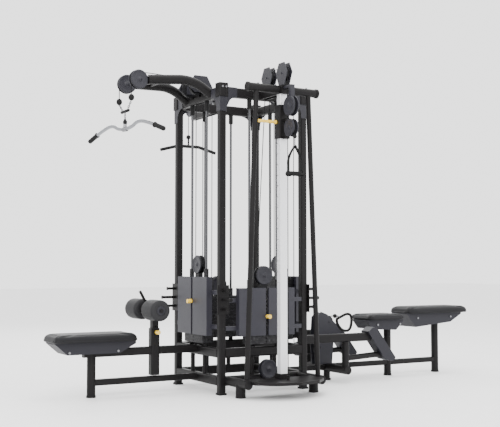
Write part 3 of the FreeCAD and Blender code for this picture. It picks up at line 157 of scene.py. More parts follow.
class Finish:
    def __init__(self, name):
        self.mat = bpy.data.materials.new(name)
        self.mat.use_nodes = True
        self.tree = self.mat.node_tree
        self.shader = self.tree.nodes["Principled BSDF"]
        self.place = self.node("ShaderNodeTexCoord", {}, {}, "Object")

    def node(self, kind, settings, inputs, output=0):
        made = self.tree.nodes.new(kind)
        for key, value in settings.items():
            setattr(made, key, value)
        for key, value in inputs.items():
            if isinstance(value, Sock):
                self.tree.links.new(value.link, made.inputs[key])
            else:
                made.inputs[key].default_value = value
        return Sock(self, made.outputs[output])

    def mix(self, factor, a, b):
        first, second = [c if isinstance(c, Sock) else (*c, 1) for c in (a, b)]
        return self.node("ShaderNodeMix", {"data_type": "RGBA"}, {0: factor, 6: first, 7: second}, 2)

    def noise(self, scale, detail=3.0, rough=0.5, at=None):
        inputs = {"Vector": at or self.place, "Scale": scale, "Detail": detail, "Roughness": rough}
        return self.node("ShaderNodeTexNoise", {}, inputs)

    def cells(self, scale, feature="F1"):
        inputs = {"Vector": self.place, "Scale": scale}
        return self.node("ShaderNodeTexVoronoi", {"feature": feature}, inputs, "Distance")

    def axes(self):
        parts = self.tree.nodes.new("ShaderNodeSeparateXYZ")
        self.tree.links.new(self.place.link, parts.inputs[0])
        return [Sock(self, out) for out in parts.outputs]

    def stretch(self, x, y, z):
        return self.node("ShaderNodeMapping", {}, {"Vector": self.place, "Scale": (x, y, z)})

    def bump(self, height, strength, distance):
        inputs = {"Height": height, "Strength": strength, "Distance": distance}
        return self.node("ShaderNodeBump", {}, inputs)

    # socket names are written with underscores for their spaces
    def done(self, **sockets):
        for key, value in sockets.items():
            target = self.shader.inputs[key.replace("_", " ")]
            if isinstance(value, Sock):
                self.tree.links.new(value.link, target)
            else:
                target.default_value = value
        return self.mat


def shade(colour, k):
    return tuple(min(1.0, c * k) for c in colour)


def paintFinish(name, colour, rough=0.42, gleam=0.12):
    # powder coat: fine pebble bump, faint dust, uneven gloss
    f = Finish(name)
    pebble, cloud = f.noise(900, 2), f.noise(5, 5, 0.6)
    scuff = f.noise(38, 6, 0.7).power(7) * 9
    tone = f.mix(cloud, shade(colour, 0.82), shade(colour, 1.28))
    tone = f.mix((scuff * 0.5).least(0.35), tone, shade(colour, 2.4))
    return f.done(Base_Color=tone, Roughness=cloud * 0.16 + (rough - 0.08) + scuff * 0.12,
                  Normal=f.bump(pebble, 0.22, 0.0006), Specular_IOR_Level=gleam)


def plasticFinish(name, colour, rough=0.5, grain=700, gloss=0.0, gleam=0.2):
    # moulded plastic: spark-eroded grain and handling marks
    f = Finish(name)
    grainy, cloud = f.cells(grain), f.noise(7, 4, 0.55)
    depth = 0.25 if gloss == 0 else 0.05
    tone = f.mix(cloud, shade(colour, 0.86), shade(colour, 1.2))
    return f.done(Base_Color=tone, Roughness=cloud * 0.14 + (rough - 0.06),
                  Coat_Weight=gloss, Coat_Roughness=0.12,
                  Specular_IOR_Level=gleam, Normal=f.bump(grainy, depth, 0.0005))


def leatherFinish(name, colour):
    # creased pebbles from two cell sizes, worn smooth and paler on top
    f = Finish(name)
    pebbles, creases = f.cells(330, "SMOOTH_F1"), f.cells(120)
    cloud = f.noise(9, 5, 0.6)
    wear = f.noise(3.2, 4, 0.6).power(3) * 2.2
    tone = f.mix(cloud, shade(colour, 0.8), shade(colour, 1.35))
    tone = f.mix((wear * 0.45).least(0.4), tone, shade(colour, 2.1))
    return f.done(Base_Color=tone, Roughness=0.5 - wear * 0.1 + pebbles * 0.18,
                  Sheen_Weight=0.01, Sheen_Roughness=0.45,
                  Normal=f.bump(pebbles * 0.7 + creases * 0.5, 0.5, 0.0012), Specular_IOR_Level=0.16)


def metalFinish(name, colour, rough, brushed, along=(1, 1, 1), metallic=1.0):
    # brushed: noise drawn out along one axis
    f = Finish(name)
    hair = f.noise(60, 4, 0.6, f.stretch(*along))
    smudge = f.noise(6, 5, 0.6)
    tone = f.mix(hair, shade(colour, 0.9), shade(colour, 1.06))
    return f.done(Base_Color=tone, Metallic=metallic, Roughness=hair * brushed + smudge * 0.08 + rough,
                  Normal=f.bump(hair, 0.06 + brushed * 0.3, 0.0003))


def ironFinish(name, colour):
    # painted cast plates: coarse skin and rubbed spots
    f = Finish(name)
    skin, cloud = f.noise(240, 5, 0.65), f.noise(11, 5, 0.6)
    rub = f.noise(70, 6, 0.7).power(8) * 14
    tone = f.mix(cloud, shade(colour, 0.8), shade(colour, 1.4))
    tone = f.mix((rub * 0.6).least(0.5), tone, (0.16, 0.16, 0.17))
    return f.done(Base_Color=tone, Roughness=0.5 + cloud * 0.14 - rub * 0.1,
                  Normal=f.bump(skin, 0.35, 0.001), Specular_IOR_Level=0.2)


def rubberFinish(name, colour, rough=0.72, grain=420):
    # dull skin with pores and a grey bloom
    f = Finish(name)
    pores, bloom = f.cells(grain), f.noise(14, 5, 0.6)
    tone = f.mix(bloom, shade(colour, 0.8), shade(colour, 1.7))
    return f.done(Base_Color=tone, Roughness=rough - 0.06 + bloom * 0.14, Normal=f.bump(pores, 0.35, 0.0008),
                  Specular_IOR_Level=0.2)


def webFinish(name, colour):
    # diagonal weave: two crossed sine waves on the strap
    f = Finish(name)
    x, y, z = f.axes()
    warp, weft = ((x + z) * 2600).sine(), ((y + z * 0.5) * 2600).sine()
    weave = warp * weft
    tone = f.mix(weave * 0.5 + 0.5, shade(colour, 0.6), shade(colour, 1.9))
    return f.done(Base_Color=tone, Roughness=0.78 + weave * 0.06,
                  Normal=f.bump(weave, 0.6, 0.0008), Specular_IOR_Level=0.2)


def cableFinish(name, colour):
    # nylon sleeve over twisted strands: a slanted ripple seen through the coat
    f = Finish(name)
    x, y, z = f.axes()
    twist = ((x + y) * 1200 + z * 700).sine()
    cloud = f.noise(20, 3)
    tone = f.mix(cloud, shade(colour, 0.7), shade(colour, 1.6))
    return f.done(Base_Color=tone, Roughness=0.34 + cloud * 0.1,
                  Normal=f.bump(twist, 0.18, 0.0004), Specular_IOR_Level=0.1)


finishes = {
    "frame_paint": paintFinish("frameCoat", (0.0062, 0.0057, 0.006)),
    "guard_grey": plasticFinish("guardSheet", (0.02, 0.0195, 0.0265), 0.46, 620, 0.0, 0.3),
    "cover_grey": plasticFinish("coverShell", (0.0145, 0.0142, 0.019), 0.44, 760, 0.0, 0.25),
    "pad_black": leatherFinish("padHide", (0.0052, 0.0051, 0.006)),
    "pan_black": plasticFinish("panShell", (0.0135, 0.0132, 0.0175), 0.48, 540),
    "chrome": metalFinish("barChrome", (0.24, 0.245, 0.26), 0.12, 0.05),
    "column_silver": metalFinish("columnSilver", (0.7, 0.7, 0.72), 0.34, 0.16, (40, 40, 0.6), 0.35),
    "stack_iron": ironFinish("stackIron", (0.0062, 0.006, 0.007)),
    "stack_frame_steel": paintFinish("liftSteel", (0.008, 0.008, 0.009), 0.38),
    "rubber": rubberFinish("blackRubber", (0.004, 0.004, 0.0042)),
    "foam_black": rubberFinish("rollerFoam", (0.0105, 0.0104, 0.0115), 0.62, 700),
    "yellow": plasticFinish("yellowKnob", (0.8, 0.52, 0.045), 0.34, 900, 0.5, 0.4),
    "cable_black": cableFinish("cableSleeve", (0.004, 0.004, 0.0045)),
    "wheel_black": plasticFinish("wheelNylon", (0.007, 0.007, 0.008), 0.4, 500),
    "strap_black": webFinish("strapWeb", (0.004, 0.004, 0.0043)),
    "steel": metalFinish("pinSteel", (0.2, 0.2, 0.21), 0.26, 0.12, (1, 1, 6)),
}
for name, part in nodes.items():
    part.data.materials.clear()
    part.data.materials.append(finishes[slotOf[name]])
rodSteel = metalFinish("rodSteel", (0.085, 0.086, 0.09), 0.2, 0.08, (1, 1, 0.05))
nodes["guide_rods"].data.materials[0] = rodSteel
print("finishes on", len(nodes), "parts")


# ---- mesh makers
def addPiece(name, points, faces, slot, body=None, smooth=True):
    mesh = bpy.data.meshes.new(name)
    mesh.from_pydata(np.asarray(points, float).reshape(-1, 3).tolist(), [], [list(f) for f in faces])
    mesh.polygons.foreach_set("use_smooth", np.full(len(mesh.polygons), smooth))
    mesh.materials.append(finishes[slot])
    piece = bpy.data.objects.new(name, mesh)
    bpy.context.scene.collection.objects.link(piece)
    if body:
        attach(piece, body)
    return piece


def gridFaces(rows, cols, closeRows=False, closeCols=True, offset=0):
    r = np.arange(rows if closeRows else rows - 1)
    c = np.arange(cols if closeCols else cols - 1)
    a, b = np.meshgrid(r, c, indexing="ij")
    a2, b2 = (a + 1) % rows, (b + 1) % cols
    quads = np.stack([a * cols + b, a * cols + b2, a2 * cols + b2, a2 * cols + b], -1).reshape(-1, 4)
    return (quads + offset).tolist()


def gridPiece(name, grid, slot, body, closeRows=False, capEnds=True, smooth=True):
    # grid is rows of closed rings; ends are closed with one face each
    rows, cols = grid.shape[:2]
    faces = gridFaces(rows, cols, closeRows)
    if capEnds and not closeRows:
        faces += [list(range(cols))[::-1], list(range((rows - 1) * cols, rows * cols))]
    piece = addPiece(name, grid, faces, slot, body, smooth)
    fixNormals(piece)
    return piece


def fixNormals(piece):
    work = bmesh.new()
    work.from_mesh(piece.data)
    bmesh.ops.recalc_face_normals(work, faces=work.faces)
    work.to_mesh(piece.data)
    work.free()


def resample(points, step):
    # points at even steps along the straight pieces of a path
    p = np.asarray(points, float)
    run = np.r_[0, np.cumsum(np.linalg.norm(np.diff(p, axis=0), axis=1))]
    t = np.linspace(0, run[-1], max(2, int(run[-1] / step) + 1))
    return np.stack([np.interp(t, run, p[:, k]) for k in range(3)], 1)


def softPath(points, step=0.01, rounds=3):
    # a path with its corners cut: quarter points, taken a few times
    p = np.asarray(points, float)
    for _ in range(rounds):
        a, b = p[:-1] * 0.75 + p[1:] * 0.25, p[:-1] * 0.25 + p[1:] * 0.75
        p = np.r_[p[:1], np.stack([a, b], 1).reshape(-1, 3), p[-1:]]
    return resample(p, step)


def arcPath(centre, radius, first, last, axisA, axisB, count=13):
    # circle: centre plus radius times (cosine of the angle along A plus sine along B)
    t = np.radians(np.linspace(first, last, count))[:, None]
    a, b = np.asarray(axisA, float), np.asarray(axisB, float)
    return np.asarray(centre) + radius * (np.cos(t) * a + np.sin(t) * b)


def hoopGrid(path, radius, side, up, sides):
    # a circle round each point: radius times (cosine of the angle sideways plus sine upwards)
    a = np.linspace(0, 2 * np.pi, sides, endpoint=False)
    return path[:, None] + radius * (np.cos(a)[None, :, None] * side[:, None] + np.sin(a)[None, :, None] * up)


def unitRows(vectors):
    return vectors / np.linalg.norm(vectors, axis=1, keepdims=True)


def ballOutline(long, wide, count):
    # half circle swept round its axis: sine along it, cosine out from it, never quite closed at the poles
    turn = np.radians(np.linspace(-90, 90, count))
    return [(long * math.sin(a), max(0.0005, wide * math.cos(a))) for a in turn]


steepest = 0.96  # past this share of the vertical a tube takes another reference axis


def tubeGrid(path, radius, sides=16, flat=None):
    # ring at each path point: side and up vectors square to the path, times the radius there
    p = np.asarray(path, float)
    ahead = unitRows(np.gradient(p, axis=0))
    ref = np.array([0, 0, 1.0]) if flat is None else np.asarray(flat, float)
    if flat is None and np.abs(ahead @ ref).max() > steepest:
        spread = np.abs(ahead).max(0)
        ref = np.eye(3)[int(np.argmin(spread))]
    side = unitRows(np.cross(ahead, ref))
    up = np.cross(side, ahead)
    r = np.broadcast_to(np.asarray(radius, float), (len(p),))[:, None, None]
    return hoopGrid(p, r, side, up[:, None], sides)


def tubePiece(name, path, radius, slot, body, sides=16, flat=None):
    return gridPiece(name, tubeGrid(path, radius, sides, flat), slot, body)


def turnedPiece(name, centre, axis, outline, slot, body, sides=48):
    # outline is (distance along the axis, radius); each pair is swept round the axis
    axis = np.asarray(axis, float) / np.linalg.norm(axis)
    ref = np.array([0, 0, 1.0]) if abs(axis[2]) < 0.9 else np.array([1.0, 0, 0])
    side = np.cross(axis, ref)
    side /= np.linalg.norm(side)
    up = np.cross(axis, side)
    o = np.asarray(outline, float)
    t = np.linspace(0, 2 * np.pi, sides, endpoint=False)
    ring = np.cos(t)[:, None] * side + np.sin(t)[:, None] * up
    grid = np.asarray(centre, float) + o[:, 0, None, None] * axis + o[:, 1, None, None] * ring[None]
    return gridPiece(name, grid, slot, body)


def meshPoints(mesh):
    co = np.empty(len(mesh.vertices) * 3)
    mesh.vertices.foreach_get("co", co)
    return co.reshape(-1, 3)


def joined(name, parts, slot, body):
    # several loose pieces made one object
    points, faces, count = [], [], 0
    for part in parts:
        mesh = part.data
        points.append(meshPoints(mesh))
        faces += [[v + count for v in p.vertices] for p in mesh.polygons]
        count += len(mesh.vertices)
        bpy.data.objects.remove(part)
    return addPiece(name, np.concatenate(points), faces, slot, body)


def smoothed(piece, levels=1):
    mod = piece.modifiers.new("soft", "SUBSURF")
    mod.levels = mod.render_levels = levels


def bevelled(piece, width):
    edge = piece.modifiers.new("edge", "BEVEL")
    edge.width, edge.segments = width, 2


# ---- padded pieces
padSettings = {
    "latSeat": {"node": "lat_seat_pad", "swell": 0.007},
    "rowFront": {"node": "row_pads", "swell": 0.006},
    "rowRear": {"node": "row_pads", "swell": 0.007},
}
padShape = {
    "points": 160, "inset": 0.003, "topDrop": 0.004, "edgeShare": 0.52, "edgeRoll": 0.75, "edgeSteps": 9,
    "crown": 0.004, "crownSteps": 14, "footIn": (0.010, 0.002, 0.0), "footUp": (0, 0.004, 0.010),
}
clothSettings = {"voxel": 0.006, "quality": 5, "pressure": 4.0, "pinned": 0.008, "frames": 20}
pipingSettings = {"points": 200, "sides": 8, "radius": 0.0028, "inset": 0.0065, "up": 0.010}
rowSplit = {"frontEnd": 1.490, "rearStart": 1.530, "frontDrop": 0.051, "rearDrop": 0.052}
cornerPower = 2 / 9.0


def roundedRectangle(count):
    # cosine and sine of the angle, each raised to a small power with its sign kept
    t = np.linspace(0, 2 * np.pi, count, endpoint=False)
    return [np.sign(wave) * np.abs(wave) ** cornerPower for wave in (np.cos(t), np.sin(t))]


def padForm(name, lo, hi):
    # rings of a rounded rectangle, stacked from the flat foot over the rolled edge to a crowned top:
    # half sizes shrink by 1 - cos and height grows by sin of the same angle
    s = padShape
    lo = np.asarray(lo) + [s["inset"], s["inset"], 0]
    hi = np.asarray(hi) - [s["inset"], s["inset"], s["topDrop"]]
    mid, half = (lo + hi) / 2, (hi - lo) / 2
    count = s["points"]
    cx, cy = roundedRectangle(count)
    rise = hi[2] - lo[2]
    turn = np.radians(np.linspace(0, 90, s["edgeSteps"]))
    edge = rise * s["edgeShare"]
    shrink = np.r_[s["footIn"], (1 - np.cos(turn)) * edge * s["edgeRoll"]]
    height = np.r_[s["footUp"], rise - edge + np.sin(turn) * edge]
    rings = [np.stack([mid[0] + cx * (half[0] - less), mid[1] + cy * (half[1] - less),
                       np.full(count, lo[2] + up)], -1) for less, up in zip(shrink, height)]
    last = shrink[-1]
    for k in np.linspace(0, 1, s["crownSteps"])[1:-1]:
        x, y = [mid[n] + wave * (half[n] - last) * (1 - k) for n, wave in enumerate((cx, cy))]
        rings.append(np.stack([x, y, np.full(count, hi[2] + s["crown"] * math.sin(k * math.pi / 2))], -1))
    rows = len(rings)
    faces = gridFaces(rows, count)
    faces += [list(range(count))[::-1], list(range((rows - 1) * count, rows * count))]
    piece = addPiece(name, np.array(rings), faces, "pad_black")
    fixNormals(piece)
    return piece


def swellPad(piece, cap, floorZ):
    # remesh, inflate with cloth pressure, then limit how far each point moved; the foot is pinned
    c = clothSettings
    mod = piece.modifiers.new("remesh", "REMESH")
    mod.mode, mod.voxel_size = "VOXEL", c["voxel"]
    bpy.context.view_layer.objects.active = piece
    bpy.ops.object.select_all(action="DESELECT")
    piece.select_set(True)
    bpy.ops.object.modifier_apply(modifier=mod.name)
    before = meshPoints(piece.data)
    after = before.copy()
    cloth = piece.modifiers.new("cloth", "CLOTH")
    s = cloth.settings
    s.quality, s.use_pressure, s.uniform_pressure_force = c["quality"], True, c["pressure"]
    s.effector_weights.gravity = 0
    pins = piece.vertex_groups.new(name="foot")
    pins.add([int(i) for i in np.where(before[:, 2] < floorZ + c["pinned"])[0]], 1.0, "REPLACE")
    s.vertex_group_mass = "foot"
    scene = bpy.context.scene
    for k in range(1, c["frames"] + 1):
        scene.frame_set(k)
    shaped = piece.evaluated_get(bpy.context.evaluated_depsgraph_get())
    after = meshPoints(shaped.data)
    piece.modifiers.remove(cloth)
    scene.frame_set(1)
    move = after - before
    far = np.linalg.norm(move, axis=1, keepdims=True)
    move *= np.minimum(1, cap / np.maximum(far, 1e-9))
    piece.data.vertices.foreach_set("co", (before + move).ravel())
    piece.data.update()


def padSeam(name, lo, hi, height, body):
    # piping: a thin tube on the rounded rectangle where the side panel meets the foot
    s = pipingSettings
    mid, half = (lo + hi) / 2, (hi - lo) / 2
    cx, cy = roundedRectangle(s["points"])
    ring = np.stack([mid[0] + cx * half[0], mid[1] + cy * half[1], np.full(s["points"], height)], -1)
    ahead = unitRows(np.roll(ring, -1, 0) - np.roll(ring, 1, 0))
    up = np.array([0, 0, 1.0])
    grid = hoopGrid(ring, s["radius"], np.cross(ahead, up), up, s["sides"])
    return gridPiece(name, grid, "pad_black", body, closeRows=True)


def makePads():
    lo, hi = lowHigh("row_pads")
    towerX, split = towerMiddleX(), rowSplit
    boxes = {"latSeat": lowHigh("lat_seat_pad"),
             "rowFront": (lo, np.array([towerX + split["frontEnd"], hi[1], hi[2] - split["frontDrop"]])),
             "rowRear": (np.array([towerX + split["rearStart"], lo[1], hi[2] - split["rearDrop"]]), hi)}
    inward = np.array([pipingSettings["inset"], pipingSettings["inset"], 0])
    for name, (low, high) in boxes.items():
        s = padSettings[name]
        pad = padForm(name, low, high)
        swellPad(pad, s["swell"], low[2])
        smoothed(pad)
        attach(pad, "frame")
        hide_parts(s["node"])
        seam = padSeam(name + "Piping", low + inward, high - inward, low[2] + pipingSettings["up"], "frame")
        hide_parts(s["node"])
        print("pad", name)


# ---- foam rollers: a long barrel with rounded shoulders and a cap at its outer end
rollerSettings = {
    "shoulder": 0.022, "shoulderSteps": 7, "skin": 0.001, "gap": 0.050, "bore": (0.004, 0.015),
    "face": 0.003, "faceShare": 0.45, "bulge": 0.0008, "bulgeSteps": 12, "sides": 64,
    "cap": [(-0.001, 0.001), (-0.001, 0.006), (-0.003, 0.010), (-0.003, 0.026), (0.0, 0.031), (0.006, 0.032),
            (0.007, 0.001)],
}


def makeRollers():
    s = rollerSettings
    lo, hi = lowHigh("knee_rollers")
    middle = (lo + hi) / 2
    radius = (hi[2] - lo[2]) / 2 - s["skin"]
    for hand, word in ((-1, "Near"), (1, "Far")):
        inner = middle[1] + hand * s["gap"]
        outer = lo[1] if hand < 0 else hi[1]
        long = abs(outer - inner)
        turn = np.radians(np.linspace(0, 90, s["shoulderSteps"]))
        k = s["shoulder"]
        start = [s["bore"], (s["face"], radius * s["faceShare"])]
        start += [(k - k * math.sin(a), radius - k + k * math.cos(a)) for a in turn[::-1]]
        finish = [(long - x, r) for x, r in start[::-1]]
        # the barrel swells by a half sine wave
        bulge = [(x, radius + s["bulge"] * math.sin(math.pi * x / long))
                 for x in np.linspace(k, long - k, s["bulgeSteps"])[1:-1]]
        outline = start + bulge + finish
        foam = turnedPiece("roller" + word, (middle[0], inner, middle[2]), (0, hand, 0), outline,
                           "foam_black", "knee_rollers_turning", s["sides"])
        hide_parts("knee_rollers")
        turnedPiece("rollerCap" + word, (middle[0], outer, middle[2]), (0, -hand, 0), s["cap"], "pan_black",
                    "knee_rollers_turning")
    print("rollers")


# ---- pulley faces: a dished disc with a rolled rim and a hub cap
discSettings = {"half": 0.017, "tip": 0.0675, "swivel": 0.0615, "guide": 0.0695, "low": 0.0655,
                "lift": 0.0675,
                "thick": 0.006, "sides": 56, "guideAt": (0, -0.720, 2.007), "lowAt": (0, -0.404, 0.170)}
liftWheelDown = 0.068


def dish(radius):
    # outline from the hub out: cap, flat web, raised rim, back edge
    thick = discSettings["thick"]
    return [(thick + 0.004, 0.0005), (thick + 0.0035, 0.006), (thick + 0.001, 0.0105), (thick * 0.45, 0.0125),
            (thick * 0.4, radius * 0.42), (thick * 0.55, radius * 0.55), (thick * 0.5, radius - 0.014),
            (thick, radius - 0.009), (thick, radius - 0.003), (thick * 0.4, radius),
            (0.0002, radius - 0.0004), (0.0002, 0.0005)]


def discPair(name, centre, axis, radius, body):
    s = discSettings
    axis = np.asarray(axis, float) / np.linalg.norm(axis)
    parts = [turnedPiece(name + str(k), np.asarray(centre) + axis * s["half"] * k, axis * k, dish(radius),
                         "cover_grey", None, s["sides"]) for k in (-1, 1)]
    joined(name, parts, "cover_grey", body)


def liftWheel(word):
    lo, hi = lowHigh(f"lift_pulley_{word}")
    centre = (lo + hi) / 2
    centre[2] = hi[2] - liftWheelDown
    return centre


def makeDiscs():
    s = discSettings
    onJoints = (("tipCoverFront", "lat_tip_turn_front", "tip", "frame"),
                ("tipCoverBack", "lat_tip_turn_back", "tip", "frame"),
                ("backCover", "back_tip_turn", "tip", "frame"),
                ("swivelCover", "swivel_wheel_turn", "swivel", "swivel_turning"))
    for name, joint, size, body in onJoints:
        discPair(name, joints[joint]["pos_m"], joints[joint]["axis"], s[size], body)
    tower = towerPlace()
    discPair("guideCover", tower + s["guideAt"], (1, 0, 0), s["guide"], "frame")
    discPair("lowCover", tower + s["lowAt"], (0, 1, 0), s["low"], "frame")
    for word, axis in sideWays.items():
        discPair("liftCover" + word.title(), liftWheel(word), axis, s["lift"], f"{word}_stack")
    print("pulley faces")


# ---- cables: tubes laid along fixed paths
cableSettings = {
    "radius": 0.003, "sides": 10, "turnRadius": 0.055, "turnSteps": 21, "strandStep": 0.03,
    "liveTops": {"front": (0, -0.385, 2.25), "right": (0.342, -0.055, 2.21), "back": (0, 0.342, 2.21),
                 "left": (-0.342, 0.055, 2.21)},
    "deadTops": {"front": 2.176, "right": 2.176, "back": 2.176, "left": 2.21},
    "short": 0.2, "shortStep": 0.004, "longStep": 0.02, "boomX": -0.935, "boomY": 0.110, "hangTop": 2.21,
    "hangFoot": 2.093, "backY": 0.867, "backFoot": 1.99, "strapY": -0.090, "strapTop": 1.855,
    "strapFoot": 1.795,
    "rowX": 0.8, "rowZ": 0.5, "rowStart": 0.004, "rowEnd": 0.066,
}


def liftCable(word, liveTop):
    # down one strand, half a turn under the wheel, up the other strand
    s = cableSettings
    centre = liftWheel(word)
    wheelZ = centre[2]
    out = sideWays[word]
    across = np.array([-out[1], out[0], 0.0])
    left, right = centre - across * s["turnRadius"], centre + across * s["turnRadius"]
    under = arcPath(centre, s["turnRadius"], 180, 360, across, (0, 0, 1), s["turnSteps"])
    deadTop = np.array([right[0], right[1], s["deadTops"][word]])
    path = np.concatenate([resample([liveTop, left], s["strandStep"])[:-1], under,
                           resample([right, deadTop], s["strandStep"])[1:]])
    piece = tubePiece(f"liftCable{word.title()}", path, s["radius"], "cable_black", None, s["sides"],
                      np.array(out, float))
    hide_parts(f"stack_cable_{word}")
    wheelZ + 0.075
    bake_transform(piece)


def straightCable(name, a, b, nodeName=None):
    # a taut straight cable between two points
    s = cableSettings
    step = s["shortStep"] if np.linalg.norm(np.subtract(a, b)) < s["short"] else s["longStep"]
    piece = tubePiece(name, resample([a, b], step), s["radius"], "cable_black", None, s["sides"])
    if nodeName:
        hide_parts(nodeName)
    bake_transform(piece)


def makeCables():
    s = cableSettings
    tower = towerPlace()
    for word, top in s["liveTops"].items():
        liftCable(word, tower + np.array(top))
    for hand, word in ((-1, "Front"), (1, "Back")):
        x, y = tower[0] + s["boomX"], tower[1] + hand * s["boomY"]
        straightCable("hangCable" + word, (x, y, s["hangTop"]), (x, y, s["hangFoot"]),
                      "lat_end_cables")
    x, y = tower[0], tower[1] + s["backY"]
    straightCable("backCable", (x, y, s["hangTop"]), (x, y, s["backFoot"]),
                  "back_end_cable")
    x, y = swivelPlace[0], swivelPlace[1] + s["strapY"]
    straightCable("strapCable", (x, y, s["strapTop"]), (x, y, s["strapFoot"]))
    x, y, z = tower[0] + s["rowX"], tower[1], s["rowZ"]
    straightCable("rowCable", (x + s["rowStart"], y, z), (x + s["rowEnd"], y, z))
    print("cables")


# ---- pulldown bar: a wavy tube with ribbed sleeves
barSettings = {
    "half": ((0, 0), (70, 2), (160, 48), (300, 14), (450, -42)), "turn": 12.0, "low": 1.865, "radius": 0.013,
    "pathStep": 0.008, "sides": 28, "lugUp": 0.002, "collarHalf": 0.022, "collarRadius": 0.0165,
    "collarStep": 0.004,
    "lug": [(0, 0.012), (0.016, 0.0135), (0.02, 0.012), (0.034, 0.012), (0.0375, 0.010), (0.0375, 0.0005)],
}
sleeveSettings = {"start": 0.34, "extra": 0.012, "radius": 0.0155, "rib": 0.0011, "pitch": 0.0085,
                  "flange": 0.004,
                  "endRound": 0.008, "endLeast": 0.12, "bore": 0.0131, "close": 0.0005, "steps": 90,
                  "sides": 36}


def barPath(sign):
    j = np.array(joints["lat_bar_swivel"]["pos_m"])
    a = math.radians(barSettings["turn"])
    along = np.array([-math.sin(a), math.cos(a), 0.0])
    steps = np.array(barSettings["half"], float) / 1000
    middle = np.array([j[0], j[1], barSettings["low"]])
    return middle + sign * steps[:, :1] * along + steps[:, 1:] * np.array([0, 0, 1.0])


def makeSleeve(word, start, end):
    # ribs are a rectified sine wave; the flange at the inner end falls away as a bell curve
    s = sleeveSettings
    way = end - start
    inner = start + way * s["start"]
    length = np.linalg.norm(end - inner) + s["extra"]
    t = np.linspace(0, 1, s["steps"])
    wave = s["radius"] + s["rib"] * np.abs(np.sin(t * length / s["pitch"] * math.pi))
    flange = s["flange"] * np.exp(-((t * length - s["flange"]) / s["flange"]) ** 2)
    rounding = np.minimum(1, np.sqrt(np.clip((1 - t) * length / s["endRound"], 0, 1)) + s["endLeast"])
    outline = np.stack([t * length, (wave + flange) * rounding], 1)
    outline = [(0, s["bore"])] + outline.tolist() + [(length, s["close"])]
    grip = turnedPiece("barGrip" + word, inner, way, outline, "rubber", "lat_bar_turning", s["sides"])
    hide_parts("lat_bar_grips")


def makeBar():
    s = barSettings
    path = softPath(np.concatenate([barPath(-1)[:0:-1], barPath(1)[1:]]), s["pathStep"])
    a = math.radians(s["turn"])
    across = np.array([math.cos(a), math.sin(a), 0])
    along = np.array([-math.sin(a), math.cos(a), 0])
    shaft = tubePiece("barShaft", path, s["radius"], "chrome", "lat_bar_turning", s["sides"], across)
    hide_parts("lat_bar")
    centre = np.array(joints["lat_bar_swivel"]["pos_m"])
    centre[2] = s["low"]
    lug = turnedPiece("barLug", centre + [0, 0, s["lugUp"]], (0, 0, 1), s["lug"], "steel", "lat_bar_turning")
    ends = [centre - along * s["collarHalf"], centre + along * s["collarHalf"]]
    collar = tubePiece("barCollar", softPath(ends, s["collarStep"], 0), s["collarRadius"], "steel",
                       "lat_bar_turning", s["sides"])
    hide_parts("lat_bar")
    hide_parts("lat_bar")
    for sign, word in ((-1, "Front"), (1, "Back")):
        makeSleeve(word, *barPath(sign)[-2:])
    print("bar")


# ---- strap handle: ball, link, webbing over a tube grip
strapSettings = {
    "web": 0.030, "thick": 0.0034, "halfGrip": 0.054, "ball": 0.015, "apexDown": 0.074, "linkTop": 0.01,
    "linkFoot": 0.014, "linkRadius": 0.0045, "ringUp": 0.002, "ring": 0.0125, "wire": 0.003,
    "shoulder": 0.006,
    "flareEnd": 0.55, "flarePower": 1.6, "wrap": 0.0195, "overUp": 0.001, "over": 0.008, "edge": 0.0008,
    "linkStep": 0.004,
}
gripSettings = {"radius": 0.0150, "rib": 0.0010, "pitch": 0.004, "ribbed": 0.34, "end": 0.0145, "bore": 0.001,
                "lip": 0.002, "steps": 140, "sides": 36}


def makeWebbing(x, y, apex, gripZ):
    # one band up over the ring and down each side round the grip ends, bowed out by a falling power curve
    s = strapSettings
    reach = s["halfGrip"] - s["shoulder"]
    t = np.linspace(0, 1, 40)
    flare = 1 - (1 - np.minimum(1, t / s["flareEnd"])) ** s["flarePower"]
    sidePath = np.stack([x + s["shoulder"] + reach * flare, np.full(40, y), apex - (apex - gripZ) * t], 1)
    gripEnd = (x + s["halfGrip"] - s["shoulder"], y, gripZ)
    wrap = arcPath(gripEnd, s["wrap"], 0, -200, (1, 0, 0), (0, 0, 1), 16)
    half = np.concatenate([sidePath[:-3], wrap])
    over = arcPath((x, y, apex + s["overUp"]), s["over"], 0, 180, (1, 0, 0), (0, 0, 1), 13)
    mirror = half * [-1, 1, 1] + [2 * x, 0, 0]
    path = np.concatenate([half[::-1], over[1:-1], mirror])
    ahead = unitRows(np.gradient(path, axis=0))
    wide = np.array([0, 1.0, 0])
    normal = np.cross(ahead, wide)
    w, h = s["web"] / 2, s["thick"] / 2
    section = np.array([(-w, -h), (-w, h), (0.0, h), (w, h), (w, -h), (0.0, -h)])
    grid = path[:, None] + section[None, :, :1] * wide + section[None, :, 1:] * normal[:, None]
    web = gridPiece("strapWeb", grid, "strap_black", "strap_hanging")
    bevelled(web, s["edge"])
    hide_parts("strap_handle")


def makeGrip(start, length, y, gripZ):
    # a tube with square ribs over its middle: the sign of a sine wave, added to the radius
    s = gripSettings
    u = np.linspace(0, 1, s["steps"])
    ribs = np.sign(np.sin(u * length / s["pitch"] * np.pi)) * (np.abs(u - 0.5) < s["ribbed"])
    body = s["radius"] + s["rib"] * ribs
    outline = [(0.0, s["bore"]), (0.0, s["end"])]
    outline += [(s["lip"] + v * (length - 2 * s["lip"]), r) for v, r in zip(u, body)]
    outline += [(length, s["end"]), (length, s["bore"])]
    grip = turnedPiece("strapGrip", (start, y, gripZ), (1, 0, 0), outline, "rubber", "strap_hanging",
                       s["sides"])
    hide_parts("handle_grip")


